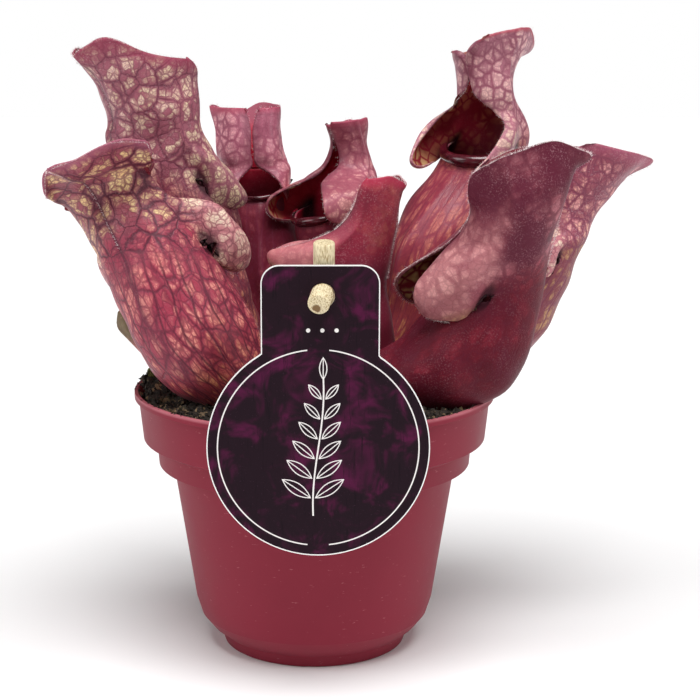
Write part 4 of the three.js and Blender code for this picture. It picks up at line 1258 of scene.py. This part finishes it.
def pick(obj, kind, test):
    """Selects the mesh's vertices, edges or faces that pass the test, in edit mode."""
    bpy.ops.object.mode_set(mode="EDIT")
    bpy.ops.mesh.select_mode(type=kind)
    bpy.ops.mesh.select_all(action="DESELECT")
    bm = bmesh.from_edit_mesh(obj.data)
    for element in {"VERT": bm.verts, "EDGE": bm.edges, "FACE": bm.faces}[kind]:
        if test(element):
            element.select_set(True)
    bmesh.update_edit_mesh(obj.data)


def make_label():
    front = CARD_FRONT * MM
    top = TAB_TOP * MM
    left, right = (TAB_MIDDLE - TAB_HALF) * MM, (TAB_MIDDLE + TAB_HALF) * MM
    bpy.ops.object.select_all(action="DESELECT")
    bpy.ops.mesh.primitive_circle_add(
        vertices=180, radius=CARD_RADIUS * MM, fill_type="NGON", rotation=UPRIGHT,
        location=(CARD_MIDDLE[0] * MM, front, CARD_MIDDLE[1] * MM))
    card = bpy.context.object
    card.name = "label_face"
    bpy.ops.object.transform_apply(location=True, rotation=True, scale=True)

    def under_tab(v):
        return v.co.z > CARD_MIDDLE[1] * MM and abs(v.co.x - TAB_MIDDLE * MM) < (TAB_HALF + 0.3) * MM

    pick(card, "EDGE", lambda e: all(under_tab(v) for v in e.verts))
    bpy.ops.mesh.extrude_edges_move(TRANSFORM_OT_translate={"value": (0, 0, 30 * MM)})
    bpy.ops.transform.resize(value=(1, 1, 0), center_override=(TAB_MIDDLE * MM, front, top))
    bm = bmesh.from_edit_mesh(card.data)
    ends = sorted((v for v in bm.verts if v.select), key=lambda v: v.co.x)
    for end, side in ((ends[0], left), (ends[-1], right)):
        shoulder = [e.other_vert(end) for e in end.link_edges if not e.other_vert(end).select]
        for v in (end, *shoulder):
            v.co.x = side
    corners = {ends[0].index, ends[-1].index}
    bmesh.update_edit_mesh(card.data)
    # only the two corners stay on the flat top, so that the rounding has room
    bpy.ops.object.mode_set(mode="OBJECT")
    pick(card, "VERT", lambda v: v.co.z > top - 0.01 * MM and v.index not in corners)
    bpy.ops.mesh.dissolve_verts()
    pick(card, "VERT", lambda v: v.co.z > top - 0.01 * MM)
    bpy.ops.mesh.bevel(affect="VERTICES", offset=TAB_ROUNDING * MM, segments=12)
    pick(card, "FACE", lambda f: True)
    bpy.ops.mesh.dissolve_faces()
    bpy.ops.object.mode_set(mode="OBJECT")
    board = card.modifiers.new("board", "SOLIDIFY")
    board.thickness = CARD_THICKNESS * MM
    board.offset = 1 if card.data.polygons[0].normal.y > 0 else -1
    apply_modifiers(card)
    card.data.materials.append(card_edge())
    card.data.materials.append(card_print())
    # a narrow unprinted border round each face
    pick(card, "FACE", lambda f: abs(f.normal.y) > 0.9)
    bpy.ops.mesh.inset(thickness=BORDER * MM, use_even_offset=True)
    card.active_material_index = 1
    bpy.ops.object.material_slot_assign()
    bpy.ops.object.mode_set(mode="OBJECT")
    hole = (CARD_HOLE[0], CARD_FRONT + CARD_THICKNESS / 2, CARD_HOLE[1])
    drill(card, CARD_HOLE_RADIUS, 10, hole, 48, UPRIGHT)
    belongs(card, "label_card", "label_card")


# ---------------------------------------------------------------- stake, peg, stub and rhizome
STAKE = ((2.9, -37.5, 50), (2.9, -57, 143.6))
STAKE_RADIUS = 3.2
PEG = ((3.0, -57.6, 129.9), (1.2, -67.0, 126.6))
PEG_RADIUS = 3.3
PEG_CORE = (0.6, -67.0, 125.3)
STUB = ((-42, 9, 76.0), (-66, 8, 111.5))


def reed_finish(name, fibres, core=None):
    """Straw with fibres along it; core is the brown pith in the middle of a cut end."""
    net = Finish(name)
    fibre = net.noise(net.vector("MULTIPLY", net.mm, fibres), 0.9, 4.0, 0.6)
    patch = net.noise(net.mm, 0.15, 2.0, 0.5)
    colour = net.mix(net.step(fibre, 0.3, 0.6), (0.42, 0.27, 0.10), (0.90, 0.78, 0.52))
    colour = net.mix(net.times(net.step(patch, 0.5, 0.8), 0.35), colour, (0.93, 0.86, 0.68))
    if core:
        from_core = net.vector("SUBTRACT", net.mm, core)
        reach = net.vector("LENGTH", net.vector("MULTIPLY", from_core, (1, 0, 1)))
        pith = net.times(net.step(reach, 1.5, 1.0), net.math("LESS_THAN", net.split(from_core)[1], 0.9))
        colour = net.mix(pith, colour, (0.22, 0.12, 0.04))
    return net.done(colour, 0.6, net.bump(fibre, 0.6, 0.4))


def make_rod(name, ends, radius, node, material):
    """A round rod between two ends in mm, with softened edges."""
    a, b = (Vector(end) * MM for end in ends)
    bpy.ops.object.select_all(action="DESELECT")
    bpy.ops.mesh.primitive_cylinder_add(vertices=28, radius=radius * MM, depth=(b - a).length)
    rod = bpy.context.object
    rod.name = name
    soften(rod, 0.5, 40, 40)
    rod.data.transform(Matrix.Translation((a + b) / 2) @ (b - a).to_track_quat("Z", "Y").to_matrix().to_4x4())
    rod.data.materials.append(material)
    belongs(rod, "reed", node)


def stub_finish():
    net = Finish("dried_leaf")
    patch = net.noise(net.mm, 0.14, 4.0, 0.6)
    grain = net.noise(net.vector("MULTIPLY", net.mm, (1, 1, 0.3)), 1.2, 4.0, 0.6)
    colour = net.mix(net.step(patch, 0.35, 0.65), (0.14, 0.085, 0.042), (0.22, 0.16, 0.085))
    colour = net.mix(net.step(grain, 0.55, 0.75), colour, (0.34, 0.24, 0.14))
    colour = net.mix(net.step(net.split(net.mm)[2], 104.0, 97.0), colour, (0.50, 0.16, 0.17))
    return net.done(colour, 0.6, net.bump(grain, 0.8, 0.6))


def make_stub():
    """A short pleated leaf base, bent outwards, and closed at its withered end."""
    start, end = (np.array(place) for place in STUB)
    t = np.linspace(0, 1, 40)
    path = start + (end - start) * np.stack([t**1.3, t, t], -1)
    radius = 2.6 + 2.1 * t**2
    radius[-5:] *= [0.97, 0.88, 0.7, 0.42, 0.1]
    tangent = unit(np.gradient(path, axis=0))
    side = unit(np.cross(tangent, [0, 1, 0]))
    deep = np.cross(tangent, side)
    a = np.linspace(0, 2 * math.pi, 29)[:-1, None]
    pleat = 1 + 0.10 * np.sin(a * 5 + 1) * np.sin(t * 3.0)[:, None, None]
    ring = np.cos(a) * side[:, None] + 0.85 * np.sin(a) * deep[:, None]
    rings = path[:, None] + ring * radius[:, None, None] * pleat
    rings_piece("stub_leaf", list(rings), stub_finish(), "dry_leaf", "old_leaf_stub")


def rhizome_finish():
    net = Finish("fibrous_root")
    grain = net.noise(net.vector("MULTIPLY", net.mm, (1, 1, 0.25)), 1.0, 4.0, 0.65)
    return net.done(net.mix(grain, (0.05, 0.02, 0.012), (0.16, 0.08, 0.05)), 0.8, net.bump(grain, 0.7, 0.6))


def pale_floor():
    bpy.ops.object.select_all(action="DESELECT")
    bpy.ops.mesh.primitive_plane_add(size=6, location=(0, 0, -0.2 * MM))
    floor = bpy.context.object
    floor.name = "floor"
    net = Finish("pale_floor")
    cloud = net.noise(net.mm, 0.003, 3.0)
    floor.data.materials.append(net.done(net.mix(cloud, (0.93, 0.93, 0.93), (0.96, 0.96, 0.96)), 0.8))


# ---------------------------------------------------------------- everything
place_camera()
light_studio()
pale_floor()
make_pot()
make_peat()
make_moss()
make_label()
make_rod("stake_reed", STAKE, STAKE_RADIUS, "label_stake", reed_finish("straw_reed", (3.0, 3.0, 0.12)))
make_rod("peg_reed", PEG, PEG_RADIUS, "label_peg", reed_finish("straw_reed_end", (3.0, 0.12, 3.0), PEG_CORE))
make_stub()
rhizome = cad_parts["rhizome"].data.materials
rhizome.clear()
rhizome.append(rhizome_finish())
insides = {inside: inner_skin(*inside)
           for inside in (DARK_INSIDE, NETTED_INSIDE, CRIMSON_INSIDE, VEINED_INSIDE)}
lip = lip_skin()
hairs = hair_finish()
for pitcher in PITCHERS:
    grow_pitcher(pitcher, insides, lip, hairs)
